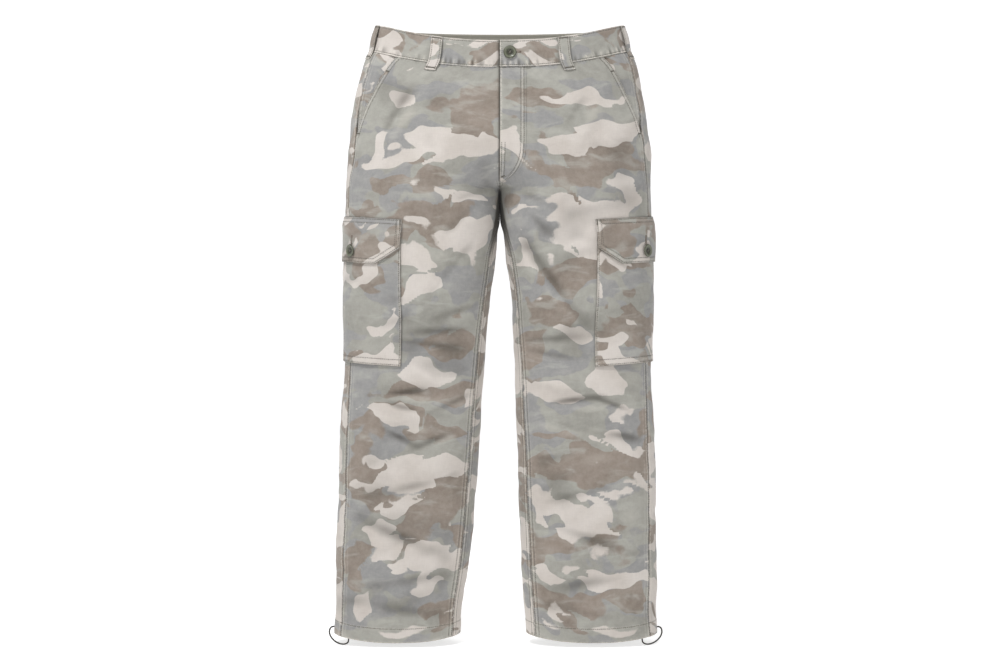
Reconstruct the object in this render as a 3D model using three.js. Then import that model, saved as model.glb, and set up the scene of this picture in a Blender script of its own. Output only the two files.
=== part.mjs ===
// Cargo pants of washed cotton twill, filled out round and hollow as they hang on a wearer, with nobody in them.
// Units are millimetres, +Z is up and the front faces -Y, so the wearer's left leg is on the +X side.
// The origin is the middle of the waist, where the wearer's waist holds the garment up.
//
// Every panel is a wall cut from one surface: a body oval that parts into two leg ovals at the crotch.
// A place on that surface is a side (+1 left, -1 right), the distance across the cloth from the side seam
// (more than 0 towards the front, less than 0 towards the back) and a height.

import * as THREE from "three";

const degree = Math.PI / 180;

// Cloth and seams
const clothThickness = 1.6;
const seamGap = 0.3;
const edgeInset = seamGap / 2;
// What lies on or under a panel keeps this clear of it, so that flat facets on a round leg never touch.
const layerClearance = 0.9;

// Main heights
const waistbandTop = 33;
const waistbandBottom = -12;
const crotchHeight = -245;
const hemHeight = -996;

// The oval's sizes from the waist to the hem. outRight and outLeft reach from the middle plane to the outside of each
// leg, inRight and inLeft to its inside (above the crotch the two sides run together and the formula below takes over),
// front and back are the depths before and behind the side.
const sectionColumns = ["height", "outRight", "inRight", "outLeft", "inLeft", "front", "back"];
const sectionRows = [
  [40, 209, 0, 209, 0, 83, 86],
  [19, 212, 0, 212, 0, 84, 88],
  [-7, 218, 0, 218, 0, 86, 93],
  [-23, 228, 0, 228, 0, 88, 97],
  [-41, 234, 0, 234, 0, 91, 103],
  [-75, 243, 0, 240, 0, 95, 112],
  [-120, 251, 0, 248, 0, 98, 121],
  [-177, 258, 0, 255, 0, 99, 125],
  [-245, 262, 0.2, 257, 0.2, 95, 117],
  [-290, 263, 1.6, 258, 2.6, 92, 106],
  [-347, 263, 6, 258, 8.5, 88, 96],
  [-415, 263, 14.5, 257, 18.7, 82, 86],
  [-483, 263, 22, 256, 22, 75, 79],
  [-551, 265, 27, 257, 25.5, 70, 74],
  [-619, 269, 32, 260, 27, 67, 71],
  [-687, 272, 36, 263.5, 30, 65, 69],
  [-755, 274, 41, 265, 31, 63, 67],
  [-823, 277, 46, 266, 34, 61, 65],
  [-891, 279, 54, 266, 37, 59, 63],
  [-942, 280, 63, 265.5, 41, 58, 61],
  [-1000, 279, 68, 267, 46, 58, 60],
];
const ovalPower = 2.25;
const crotchBlend = 170;

// The waist is cut lower in front than at the sides and back, and the front of each hem hangs a little lower.
const frontDip = 36;
const frontDipEnd = -200;
const hemDip = 10;
const hemDipStart = -880;

// Angles of the seams on the oval: 0 is the outside of the leg, -90 the front and -180 the inside.
const sideSeamColumns = ["height", "angle"];
const sideSeamRows = [
  [40, -9],
  [-100, -9],
  [-160, -12.5],
  [-210, -16.5],
  [-280, -18.5],
  [-1000, -18.5],
];
const inseamAngle = -161;
const inseamEase = 120;

// The largest folds. across and height place the middle, reach is half the length, breadth half the width, tilt the
// degrees from level, and depth is out for a ridge and in for a trough.
const foldColumns = ["side", "across", "height", "reach", "breadth", "tilt", "depth"];
const foldRows = [
  [-1, 120, -596, 78, 20, -6, -6.5],
  [-1, 112, -566, 70, 17, 4, 4.5],
  [-1, 124, -662, 66, 20, 8, -5.5],
  [-1, 108, -628, 74, 17, 3, 4.5],
  [-1, 150, -480, 62, 19, -14, -4.5],
  [-1, 150, -706, 52, 18, -16, 3.5],
  [-1, 116, -770, 66, 26, 16, -3],
  [-1, 120, -876, 72, 28, -10, 3],
  [-1, 122, -178, 76, 24, 62, -4.5],
  [-1, 150, -300, 62, 24, 30, -3.5],
  [-1, -150, -560, 84, 24, 6, -6.5],
  [-1, -140, -610, 78, 22, -8, 5],
  [-1, -120, -300, 92, 28, -20, -6],
  [-1, -130, -800, 80, 28, 12, -4],
  [1, 118, -606, 74, 20, 14, -6],
  [1, 108, -578, 66, 17, 8, 4.5],
  [1, 92, -664, 74, 20, 16, -5],
  [1, 128, -636, 62, 17, -8, 4],
  [1, 150, -496, 62, 19, -16, -4.5],
  [1, 120, -742, 62, 26, -12, -3],
  [1, 110, -860, 70, 28, 10, 3],
  [1, 118, -196, 74, 24, -60, -3.5],
  [1, 142, -300, 66, 24, -30, -4],
  [1, -150, -566, 84, 24, -6, -6.5],
  [1, -140, -616, 78, 22, 8, 5],
  [1, -120, -306, 92, 28, 20, -6],
  [1, -130, -806, 80, 28, -12, -4],
];
const foldSeamFade = 34;

// Hand pockets: the slanted mouth leaves the waistband this far from the side seam and meets it lower down.
const slantWidth = 46;
const slantBottom = -160;
const facingUnderlap = 13;
const facingThickness = 1.2;
const facingClearance = 1.4;

// Fly: a lapped front edge whose stitched outline is a J.
const flyWidth = 42;
const flyBend = -180;
const flyBottom = -236;
const flyFoot = 7;
const flyThickness = 1.4;
const flyColumns = 4;
const flyRows = 16;
const flyEdgeFromMiddle = 1;

// Waistband, one strip that laps over itself at the centre front
const bandOut = 0.8;
const bandThickness = 2.6;
const bandUnderlap = 36;
const bandLapRise = bandThickness + 0.4;
const bandLapStart = 64;
const bandLapFull = 44;
const bandLapStations = 3;
const bandRows = 3;

// Belt loops
const loopWidth = 20;
const loopThickness = 2;
const loopProfileColumns = ["height", "standoff"];
const loopProfileRows = [
  [-24, 0.5],
  [-16, 1.3],
  [-8, 3],
  [2, 3.8],
  [14, 3.5],
  [25, 2.4],
  [33, 1.3],
];
// The two side loops stand off more in the middle, and their sewn ends follow the rounder side of the waist.
const sideLoopProfileRows = [
  [-24, -0.2],
  [-16, 0.7],
  [-8, 2.9],
  [2, 4.5],
  [14, 4.3],
  [25, 2.5],
  [33, 0.6],
];
const loopColumns = ["name", "side", "topDistance", "footDistance", "face"];
const loopRows = [
  ["belt_loop_front_right", -1, 104, 109, 1],
  ["belt_loop_front_left", 1, 105, 109, 1],
  ["belt_loop_back_right", -1, 113, 118, -1],
  ["belt_loop_back_left", 1, 113, 118, -1],
];
const sideLoopAcross = -13;

// Cargo pockets over the side seams. Each leans so that its front edge hangs plumb, and its front is set lower.
const pocketHalfWidth = 88;
const pocketTop = -311;
const pocketBottom = -538;
const pocketForward = 15.5;
const pocketForwardLevel = -350;
const pocketLean = 0.04;
const pocketTilt = 0.07;
const pocketBulge = 2.6;
// Shares of the half wave that the bulge follows up the pocket, at its foot and at its top.
const bulgeAtFoot = 0.08;
const bulgeAtTop = 0.8;
const flapHalfWidth = 90;
const flapCornerHalfWidth = 86;
const flapTop = -294;
const flapCornerDrop = 48;
const flapFootHalfWidth = 46;
const flapDrops = [0, 8, 15, 30, flapCornerDrop, 57, 67, 76];
const flapDrop = flapDrops.at(-1);
const flapClearance = 1.2;
// The flap has risen to its full height this far above the pocket's top edge.
const flapRiseMargin = 2;

// Buttons
const buttonRadius = 10.8;
const buttonHeight = 3.4;
const buttonSegments = 18;
const waistButtonFromMiddle = 16.5;
const waistButtonHeight = 12;
const flapButtonHeight = -350;
const flapButtonClearance = seamGap + 0.5;

// Hem drawcord loops, one at the outside of each hem. A loop comes straight out of the cloth behind the side seam, hangs
// round just below the hem and goes up into the hem's edge in front of the seam.
const cordRadius = 1.3;
const cordSteps = 30;
const cordSides = 8;
const cordColumns = ["across", "height", "lift"];
const cordRows = [
  [-36, -987, 0.3],
  [-36, -987, 3.5],
  [-34, -988.5, 7],
  [-28, -993, 9],
  [-21, -999, 8.5],
  [-12, -1005, 5.5],
  [-2, -1008, 2],
  [8, -1007, -0.4],
  [15, -1002.5, -0.8],
  [16.5, -996.3, -0.8],
];

// Rows of each panel's grid, closer together where the folds are
const panelColumns = 11;
const panelRowBands = [
  { from: waistbandBottom - edgeInset, to: slantBottom, rows: 6 },
  { from: slantBottom, to: crotchHeight, rows: 4 },
  { from: crotchHeight, to: -345, rows: 4 },
  { from: -345, to: -545, rows: 7 },
  { from: -545, to: -725, rows: 11 },
  { from: -725, to: hemHeight, rows: 9 },
];

const clamp = (value, low, high) => Math.min(high, Math.max(low, value));
const mix = (a, b, t) => a + (b - a) * t;
const ease = (t) => {
  const c = clamp(t, 0, 1);
  return c * c * (3 - 2 * c);
};

// Turns rows of numbers and their column names into a list of named records.
function table(columns, rows) {
  return rows.map((row) => Object.fromEntries(columns.map((name, i) => [name, row[i]])));
}

// A smooth curve through one column of a table, read at any height. The rows go from the highest to the lowest.
function curveThrough(records, column) {
  const slope = (i) => {
    const a = records[Math.max(i - 1, 0)];
    const b = records[Math.min(i + 1, records.length - 1)];
    return (b[column] - a[column]) / (b.height - a.height);
  };
  return (height) => {
    let i = 0;
    while (i < records.length - 2 && height < records[i + 1].height) i += 1;
    const top = records[i];
    const low = records[i + 1];
    const span = low.height - top.height;
    const t = clamp((height - top.height) / span, 0, 1);
    const t2 = t * t;
    const t3 = t2 * t;
    return (
      (2 * t3 - 3 * t2 + 1) * top[column] +
      (t3 - 2 * t2 + t) * span * slope(i) +
      (3 * t2 - 2 * t3) * low[column] +
      (t3 - t2) * span * slope(i + 1)
    );
  };
}

const sections = table(sectionColumns, sectionRows);
const sizeOf = Object.fromEntries(
  sectionColumns.slice(1).map((column) => [column, curveThrough(sections, column)]),
);
const sideSeamAngle = curveThrough(table(sideSeamColumns, sideSeamRows), "angle");
const folds = table(foldColumns, foldRows);
const loopProfile = table(loopProfileColumns, loopProfileRows);
const sideLoopProfile = table(loopProfileColumns, sideLoopProfileRows);

// The oval of one side at one height. Above the crotch its inside reaches past the middle plane, where it is cut off,
// until at the waist both sides share one oval.
function ovalAt(side, height) {
  const out = side > 0 ? sizeOf.outLeft(height) : sizeOf.outRight(height);
  let inside = side > 0 ? sizeOf.inLeft(height) : sizeOf.inRight(height);
  if (height > crotchHeight) {
    const rise = clamp((height - crotchHeight) / crotchBlend, 0, 1);
    const narrow = (1 - rise) ** 2;
    inside = edgeInset - (out * (1 - narrow)) / (1 + narrow);
  }
  return {
    centre: (out + inside) / 2,
    halfWidth: (out - inside) / 2,
    front: sizeOf.front(height),
    back: sizeOf.back(height),
  };
}

function ovalPoint(oval, angle) {
  const depth = Math.sin(angle) < 0 ? oval.front : oval.back;
  const across = Math.abs(Math.cos(angle) / oval.halfWidth) ** ovalPower;
  const along = Math.abs(Math.sin(angle) / depth) ** ovalPower;
  const radius = (across + along) ** (-1 / ovalPower);
  return [oval.centre + radius * Math.cos(angle), radius * Math.sin(angle)];
}

// The angle where the oval meets the middle plane, found by halving, on the front (-1) or the back (+1).
function middleAngle(oval, face) {
  let low = Math.PI / 2;
  let high = Math.PI;
  for (let i = 0; i < 50; i += 1) {
    const half = (low + high) / 2;
    if (ovalPoint(oval, face * half)[0] > edgeInset) low = half;
    else high = half;
  }
  return face * low;
}

// One level line of the cloth on one side, from the front's inner seam round the side to the back's inner seam.
const rowCache = new Map();
const rowSteps = 170;
function rowAt(side, height) {
  const key = `${side} ${height.toFixed(4)}`;
  if (rowCache.has(key)) return rowCache.get(key);
  const oval = ovalAt(side, height);
  let first = middleAngle(oval, -1);
  let last = middleAngle(oval, 1);
  if (height <= crotchHeight) {
    first = mix(-180, inseamAngle, ease((crotchHeight - height) / inseamEase)) * degree;
    last = first + 2 * Math.PI;
  }
  const seam = sideSeamAngle(height) * degree;
  const points = [];
  const lengths = [];
  let seamLength = 0;
  for (let i = 0; i <= rowSteps; i += 1) {
    const angle = mix(first, last, i / rowSteps);
    const [x, y] = ovalPoint(oval, angle);
    const before = points[i - 1];
    lengths.push(before ? lengths[i - 1] + Math.hypot(x - before[0], y - before[1]) : 0);
    points.push([x, y]);
    if (before) {
      const start = mix(first, last, (i - 1) / rowSteps);
      if (start <= seam && angle > seam) {
        seamLength = mix(lengths[i - 1], lengths[i], (seam - start) / (angle - start));
      }
    }
  }
  const row = {
    points,
    lengths,
    seamLength,
    frontReach: seamLength,
    backReach: lengths[rowSteps] - seamLength,
  };
  rowCache.set(key, row);
  return row;
}

// A point and the outward direction in the level plane, at a length along a row. Past its ends it runs on straight.
function alongRow(row, length) {
  let i = 1;
  while (i < rowSteps && row.lengths[i] < length) i += 1;
  const [ax, ay] = row.points[i - 1];
  const [bx, by] = row.points[i];
  const step = row.lengths[i] - row.lengths[i - 1];
  const t = (length - row.lengths[i - 1]) / step;
  return { x: mix(ax, bx, t), y: mix(ay, by, t), outX: (by - ay) / step, outY: -(bx - ax) / step };
}

// How far the folds push the cloth out (or in, below 0). They fade out at the inner seams.
function foldDepth(side, across, height, row) {
  const toInner = Math.min(row.frontReach - across, row.backReach + across);
  const fade = ease(toInner / foldSeamFade);
  let depth = 0;
  for (const fold of folds) {
    if (fold.side !== side) continue;
    const dx = across - fold.across;
    const dz = height - fold.height;
    const turn = fold.tilt * degree;
    const u = (dx * Math.cos(turn) + dz * Math.sin(turn)) / fold.reach;
    const v = (dz * Math.cos(turn) - dx * Math.sin(turn)) / fold.breadth;
    depth += fold.depth * Math.exp(-u * u - v * v);
  }
  return depth * fade;
}

// The cloth's own surface.
function clothPoint(side, across, height) {
  const row = rowAt(side, height);
  const at = alongRow(row, row.seamLength - across);
  const push = foldDepth(side, across, height, row);
  const frontness = clamp(-at.y / sizeOf.front(height), 0, 1) ** ovalPower;
  const waistDip = frontDip * ease((height - frontDipEnd) / (waistbandBottom - frontDipEnd));
  const legDip = hemDip * ease((hemDipStart - height) / (hemDipStart - hemHeight));
  return new THREE.Vector3(
    side * (at.x + at.outX * push),
    at.y + at.outY * push,
    height - (waistDip + legDip) * frontness,
  );
}

// The outward normal of that surface.
const normalStep = 1.5;
function clothNormal(side, across, height) {
  const alongCloth = clothPoint(side, across + normalStep, height).sub(
    clothPoint(side, across - normalStep, height),
  );
  const upCloth = clothPoint(side, across, height + normalStep).sub(
    clothPoint(side, across, height - normalStep),
  );
  return upCloth.cross(alongCloth).multiplyScalar(side).normalize();
}

// A point lifted off the cloth.
function liftedPoint(side, across, height, lift) {
  const normal = clothNormal(side, across, height);
  return clothPoint(side, across, height).addScaledVector(normal, lift);
}

// The across of the inner seam or centre seam, on the front (+1) or the back (-1).
function innerAcross(side, height, face) {
  const row = rowAt(side, height);
  return face > 0 ? row.frontReach : -row.backReach;
}

// A closed wall from a grid of places. place(i, j) gives a side, across, height and the lift of both faces.
function wallGeometry(columns, rows, place) {
  const positions = [];
  const faces = [];
  for (const face of ["outer", "inner"]) {
    for (let j = 0; j <= rows; j += 1) {
      for (let i = 0; i <= columns; i += 1) {
        const at = place(i, j);
        positions.push(...liftedPoint(at.side, at.across, at.height, at[face]).toArray());
      }
    }
  }
  const width = columns + 1;
  const layer = width * (rows + 1);
  const quad = (a, b, c, d) => faces.push(a, b, c, a, c, d);
  for (let j = 0; j < rows; j += 1) {
    for (let i = 0; i < columns; i += 1) {
      const a = j * width + i;
      quad(a, a + 1, a + width + 1, a + width);
      quad(layer + a, layer + a + width, layer + a + width + 1, layer + a + 1);
    }
  }
  for (let i = 0; i < columns; i += 1) {
    const low = rows * width + i;
    quad(i + 1, i, layer + i, layer + i + 1);
    quad(low, low + 1, layer + low + 1, layer + low);
  }
  for (let j = 0; j < rows; j += 1) {
    const near = j * width;
    const far = near + columns;
    quad(near, near + width, layer + near + width, layer + near);
    quad(far + width, far, layer + far, layer + far + width);
  }
  if (signedVolume(positions, faces) < 0) faces.reverse();
  const geometry = new THREE.BufferGeometry();
  geometry.setAttribute("position", new THREE.Float32BufferAttribute(positions, 3));
  geometry.setIndex(faces);
  geometry.computeVertexNormals();
  return geometry;
}

function signedVolume(positions, faces) {
  const corner = (k) => new THREE.Vector3().fromArray(positions, faces[k] * 3);
  let volume = 0;
  for (let k = 0; k < faces.length; k += 3) {
    volume += corner(k).dot(corner(k + 1).cross(corner(k + 2)));
  }
  return volume;
}

const finish = (color, roughness, metalness = 0) =>
  new THREE.MeshStandardMaterial({ color, roughness, metalness });
const clothFinish = {
  body: finish(0xa9a8a1, 0.95),
  trim: finish(0xa39f96, 0.95),
  pocket: finish(0xb1aca4, 0.95),
};
const buttonFinish = finish(0x6a6b5a, 0.55);
const cordFinish = finish(0x33312e, 0.85);

function named(name, geometry, material) {
  const mesh = new THREE.Mesh(geometry, material);
  mesh.name = name;
  return mesh;
}

// All the heights of a panel's rows, from the top down.
const panelHeights = [waistbandBottom - edgeInset];
for (const band of panelRowBands) {
  for (let k = 1; k <= band.rows; k += 1) panelHeights.push(mix(band.from, band.to, k / band.rows));
}

// How far the hand pocket's mouth lies from the side seam at a height, and 0 below it.
const slantAcross = (height) =>
  slantWidth * clamp((height - slantBottom) / (waistbandBottom - slantBottom), 0, 1);

function frontPanel(name, side) {
  const place = (i, j) => {
    const height = panelHeights[j];
    const inner = innerAcross(side, height, 1) - edgeInset;
    const outer = slantAcross(height) + edgeInset;
    return { side, height, across: mix(inner, outer, i / panelColumns), outer: 0, inner: -clothThickness };
  };
  return named(name, wallGeometry(panelColumns, panelHeights.length - 1, place), clothFinish.body);
}

function backPanel(name, side) {
  const place = (i, j) => {
    const height = panelHeights[j];
    const inner = innerAcross(side, height, -1) + edgeInset;
    return { side, height, across: mix(inner, -edgeInset, i / panelColumns), outer: 0, inner: -clothThickness };
  };
  return named(name, wallGeometry(panelColumns, panelHeights.length - 1, place), clothFinish.body);
}

// The cloth seen inside a hand pocket's mouth, one layer under the front panel.
function pocketFacing(name, side) {
  const columns = 4;
  const rows = 8;
  const lowest = slantBottom - facingUnderlap;
  const place = (i, j) => {
    const height = mix(waistbandBottom - edgeInset, lowest, j / rows);
    const far = slantAcross(height) + facingUnderlap;
    const outer = -clothThickness - facingClearance;
    return { side, height, across: mix(edgeInset, far, i / columns), outer, inner: outer - facingThickness };
  };
  return named(name, wallGeometry(columns, rows, place), clothFinish.trim);
}

// The width of the fly at a height: straight, then round to its foot like a J.
function flyWidthAt(height) {
  const t = clamp((flyBend - height) / (flyBend - flyBottom), 0, 1);
  return flyFoot + (flyWidth - flyFoot) * Math.sqrt(1 - t * t);
}

// The fly's rows are closer together towards its round foot.
function fly() {
  const place = (i, j) => {
    const even = j / flyRows;
    const down = (even + Math.sin((even * Math.PI) / 2)) / 2;
    const height = mix(waistbandBottom - edgeInset, flyBottom, down);
    const edge = innerAcross(1, height, 1) - flyEdgeFromMiddle;
    const across = edge - (flyWidthAt(height) * i) / flyColumns;
    return { side: 1, height, across, outer: layerClearance + flyThickness, inner: layerClearance };
  };
  return named("fly", wallGeometry(flyColumns, flyRows, place), clothFinish.trim);
}

// The waistband's strip starts under the lap, runs round the right side, the back and the left side, and laps over.
// A station is a side, a face and the share of the way from the side seam to the middle, so its edge meets the panels'
// own columns.
function bandStationList() {
  const slantShare = (slantWidth + edgeInset) / innerAcross(1, waistbandBottom, 1);
  const shares = [];
  for (let i = 0; i <= panelColumns; i += 1) shares.push(mix(1, slantShare, i / panelColumns));
  const frontOf = (side) => [...shares, slantShare / 2].map((share) => ({ side, face: 1, share }));
  const backOf = (side) => shares.map((_, i) => ({ side, face: -1, share: i / panelColumns }));
  const underlapShare = 1 - bandUnderlap / innerAcross(1, waistbandBottom, 1);
  const under = [];
  for (let i = 0; i < bandLapStations; i += 1) {
    under.push({ side: 1, face: 1, share: mix(underlapShare, 1, i / bandLapStations) });
  }
  const leftBack = backOf(1).reverse();
  const leftFront = frontOf(1).reverse();
  return [...under, ...frontOf(-1), ...backOf(-1), ...leftBack.slice(1), ...leftFront];
}

function waistband() {
  const stations = bandStationList();
  const lapStart = stations.length - panelColumns - 2;
  const place = (i, j) => {
    const { side, face, share } = stations[i];
    const height = mix(waistbandTop, waistbandBottom + edgeInset, j / bandRows);
    const across = share * innerAcross(side, height, face);
    const fromMiddle = (1 - share) * innerAcross(side, height, face);
    const lapping = i > lapStart && face > 0;
    const rise = lapping ? bandLapRise * ease((bandLapStart - fromMiddle) / (bandLapStart - bandLapFull)) : 0;
    return { side, height, across, outer: bandOut + rise, inner: bandOut + rise - bandThickness };
  };
  return named("waistband", wallGeometry(stations.length - 1, bandRows, place), clothFinish.trim);
}

// The across of a place on the waist this far from the middle plane, found by halving.
function acrossAtDistance(side, height, distance, face) {
  let near = 0;
  let far = innerAcross(side, height, face);
  for (let k = 0; k < 40; k += 1) {
    const half = (near + far) / 2;
    if (Math.abs(clothPoint(side, half, height).x) > distance) near = half;
    else far = half;
  }
  return (near + far) / 2;
}

// A loop whose top and foot have the given across, so that it may lean.
function beltLoop(name, side, topAcross, footAcross, profile) {
  const columns = 2;
  const rows = profile.length - 1;
  const place = (i, j) => {
    const at = profile[j];
    const across = mix(footAcross, topAcross, j / rows) + loopWidth * (i / columns - 0.5);
    return { side, height: at.height, across, outer: at.standoff + loopThickness, inner: at.standoff };
  };
  return named(name, wallGeometry(columns, rows, place), clothFinish.trim);
}

// The loop at the centre back straddles the middle plane.
function centreBackLoop() {
  const columns = 4;
  const rows = loopProfile.length - 1;
  const place = (i, j) => {
    const at = loopProfile[j];
    const x = loopWidth * (i / columns - 0.5);
    const side = x < 0 ? -1 : 1;
    const across = innerAcross(side, at.height, -1) + Math.abs(x);
    return { side, height: at.height, across, outer: at.standoff + loopThickness, inner: at.standoff };
  };
  return named("belt_loop_centre_back", wallGeometry(columns, rows, place), clothFinish.trim);
}

// A place on the pocket: u across from its middle and a level, both on the pocket's own lean and tilt.
function pocketPlace(side, u, level, inner) {
  const middle = pocketForward + pocketLean * (level - pocketForwardLevel);
  return { side, across: middle + u, height: level - pocketTilt * u, outer: inner + clothThickness, inner };
}

// How much the filled pocket stands out between its edges.
function pocketLift(along, level) {
  const u = clamp(along / pocketHalfWidth, -1, 1);
  const t = clamp((level - pocketBottom) / (pocketTop - pocketBottom), 0, 1);
  const wave = Math.sin(Math.PI * mix(bulgeAtFoot, bulgeAtTop, t));
  return layerClearance + pocketBulge * (1 - u * u) * wave;
}

function cargoPocket(name, side) {
  const columns = 10;
  const rows = 9;
  const place = (i, j) => {
    const u = mix(-pocketHalfWidth, pocketHalfWidth, i / columns);
    const level = mix(pocketTop, pocketBottom, j / rows);
    return pocketPlace(side, u, level, pocketLift(u, level));
  };
  return named(name, wallGeometry(columns, rows, place), clothFinish.pocket);
}

// How high the flap's underside rides: on the leg at its top edge, and over the pocket below it.
function flapLift(along, level) {
  const onPocket = ease((flapTop - level) / (flapTop - pocketTop - flapRiseMargin));
  const overPocket = pocketLift(along, Math.min(level, pocketTop)) + clothThickness + flapClearance;
  return mix(layerClearance, overPocket, onPocket);
}

function cargoFlap(name, side) {
  const columns = 10;
  const place = (i, j) => {
    const drop = flapDrops[j];
    const toCorner = clamp(drop / flapCornerDrop, 0, 1);
    const pastCorner = clamp((drop - flapCornerDrop) / (flapDrop - flapCornerDrop), 0, 1);
    const straight = mix(flapHalfWidth, flapCornerHalfWidth, toCorner);
    const half = mix(straight, flapFootHalfWidth, pastCorner);
    const u = mix(-half, half, i / columns);
    const level = flapTop - drop;
    return pocketPlace(side, u, level, flapLift(u, level));
  };
  return named(name, wallGeometry(columns, flapDrops.length - 1, place), clothFinish.pocket);
}

// A round button with a raised rim and a sunk middle, turned about its own axis.
function buttonGeometry() {
  const rim = buttonRadius;
  const outline = [
    [0, 0],
    [rim * 0.72, 0],
    [rim, buttonHeight * 0.45],
    [rim * 0.97, buttonHeight * 0.8],
    [rim * 0.84, buttonHeight],
    [rim * 0.66, buttonHeight * 0.9],
    [rim * 0.52, buttonHeight * 0.62],
    [0, buttonHeight * 0.55],
  ];
  const points = outline.map(([r, h]) => new THREE.Vector2(r, h));
  return new THREE.LatheGeometry(points, buttonSegments);
}

function button(name, side, across, height, lift) {
  const mesh = named(name, buttonGeometry(), buttonFinish);
  const normal = clothNormal(side, across, height);
  mesh.position.copy(liftedPoint(side, across, height, lift));
  mesh.quaternion.setFromUnitVectors(new THREE.Vector3(0, 1, 0), normal);
  return mesh;
}

function hemCord(name, side) {
  const route = table(cordColumns, cordRows).map((at) => liftedPoint(side, at.across, at.height, at.lift));
  const ring = new THREE.Shape();
  for (let k = 0; k < cordSides; k += 1) {
    const angle = (2 * Math.PI * k) / cordSides;
    const x = cordRadius * Math.cos(angle);
    const y = cordRadius * Math.sin(angle);
    if (k === 0) ring.moveTo(x, y);
    else ring.lineTo(x, y);
  }
  ring.closePath();
  const path = new THREE.CatmullRomCurve3(route);
  const geometry = new THREE.ExtrudeGeometry(ring, { steps: cordSteps, extrudePath: path });
  return named(name, geometry, cordFinish);
}

const pants = new THREE.Group();
const sides = [
  ["right", -1],
  ["left", 1],
];
for (const [word, side] of sides) {
  pants.add(frontPanel(`front_${word}`, side));
  pants.add(backPanel(`back_${word}`, side));
  pants.add(pocketFacing(`pocket_facing_${word}`, side));
  pants.add(cargoPocket(`cargo_pocket_${word}`, side));
  pants.add(cargoFlap(`cargo_flap_${word}`, side));
  const flapLevel = flapLift(0, flapButtonHeight) + clothThickness + flapButtonClearance;
  pants.add(button(`cargo_button_${word}`, side, pocketForward, flapButtonHeight, flapLevel));
  pants.add(hemCord(`hem_cord_${word}`, side));
}
pants.add(fly());
pants.add(waistband());
for (const loop of table(loopColumns, loopRows)) {
  const topAcross = acrossAtDistance(loop.side, waistbandTop, loop.topDistance, loop.face);
  const footAcross = acrossAtDistance(loop.side, waistbandBottom, loop.footDistance, loop.face);
  pants.add(beltLoop(loop.name, loop.side, topAcross, footAcross, loopProfile));
}
for (const [word, side] of sides) {
  const name = `belt_loop_side_${word}`;
  pants.add(beltLoop(name, side, sideLoopAcross, sideLoopAcross, sideLoopProfile));
}
pants.add(centreBackLoop());
const buttonAcross = acrossAtDistance(1, waistButtonHeight, waistButtonFromMiddle, 1);
const buttonLift = bandOut + bandLapRise + seamGap;
pants.add(button("waist_button", 1, buttonAcross, waistButtonHeight, buttonLift));

export default pants;
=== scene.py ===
import math

import bpy
import numpy as np
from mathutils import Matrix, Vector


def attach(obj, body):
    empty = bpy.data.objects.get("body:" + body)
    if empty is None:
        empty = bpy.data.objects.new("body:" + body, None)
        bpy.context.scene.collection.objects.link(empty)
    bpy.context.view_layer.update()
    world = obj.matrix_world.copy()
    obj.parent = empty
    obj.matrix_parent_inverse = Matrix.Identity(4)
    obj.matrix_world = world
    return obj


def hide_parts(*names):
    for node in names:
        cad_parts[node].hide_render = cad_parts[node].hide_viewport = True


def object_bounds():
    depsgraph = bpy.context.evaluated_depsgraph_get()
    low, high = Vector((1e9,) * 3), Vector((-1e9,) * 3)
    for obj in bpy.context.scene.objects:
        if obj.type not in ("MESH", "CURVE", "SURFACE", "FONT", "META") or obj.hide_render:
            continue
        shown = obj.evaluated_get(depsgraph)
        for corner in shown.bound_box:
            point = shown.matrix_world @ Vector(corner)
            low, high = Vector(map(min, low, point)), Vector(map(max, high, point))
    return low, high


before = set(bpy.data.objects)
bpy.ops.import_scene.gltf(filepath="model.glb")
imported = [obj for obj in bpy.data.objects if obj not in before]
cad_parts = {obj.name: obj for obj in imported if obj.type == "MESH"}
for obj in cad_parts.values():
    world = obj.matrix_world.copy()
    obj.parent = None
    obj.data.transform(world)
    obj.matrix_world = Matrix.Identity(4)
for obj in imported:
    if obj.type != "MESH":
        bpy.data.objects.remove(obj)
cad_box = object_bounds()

# Lengths in the tables are millimetres, as in the part's source. Meshes are in metres.
MM = 0.001

# Main heights and clearances of the garment, from the part
WAIST_TOP = 33
WAIST_SEAM = -12
CROTCH = -245
HEM = -996
EDGE_INSET = 0.15
CLOTH_THICKNESS = 1.6
LAYER_CLEARANCE = 0.9
# How much thinner than their solids the band and the loops are drawn, to stay clear of what is under them
UNDER_EASE = 0.2

# Camera: at the photo's distance, level with the thighs
CAMERA_PLACE = (0.0068, -3.2, -0.493)
CAMERA_LENS = 67.23
SENSOR_WIDTH = 36


def place_camera():
    data = bpy.data.cameras.new("camera")
    data.lens = CAMERA_LENS
    data.sensor_width = SENSOR_WIDTH
    data.sensor_fit = "HORIZONTAL"
    camera = bpy.data.objects.new("camera", data)
    camera.location = CAMERA_PLACE
    camera.rotation_euler = (math.radians(90), 0, 0)
    bpy.context.scene.collection.objects.link(camera)
    bpy.context.scene.camera = camera


# Curves and numbers


def ease(t):
    c = np.clip(t, 0, 1)
    return c * c * (3 - 2 * c)


def mix(a, b, t):
    return a + (b - a) * t


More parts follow.
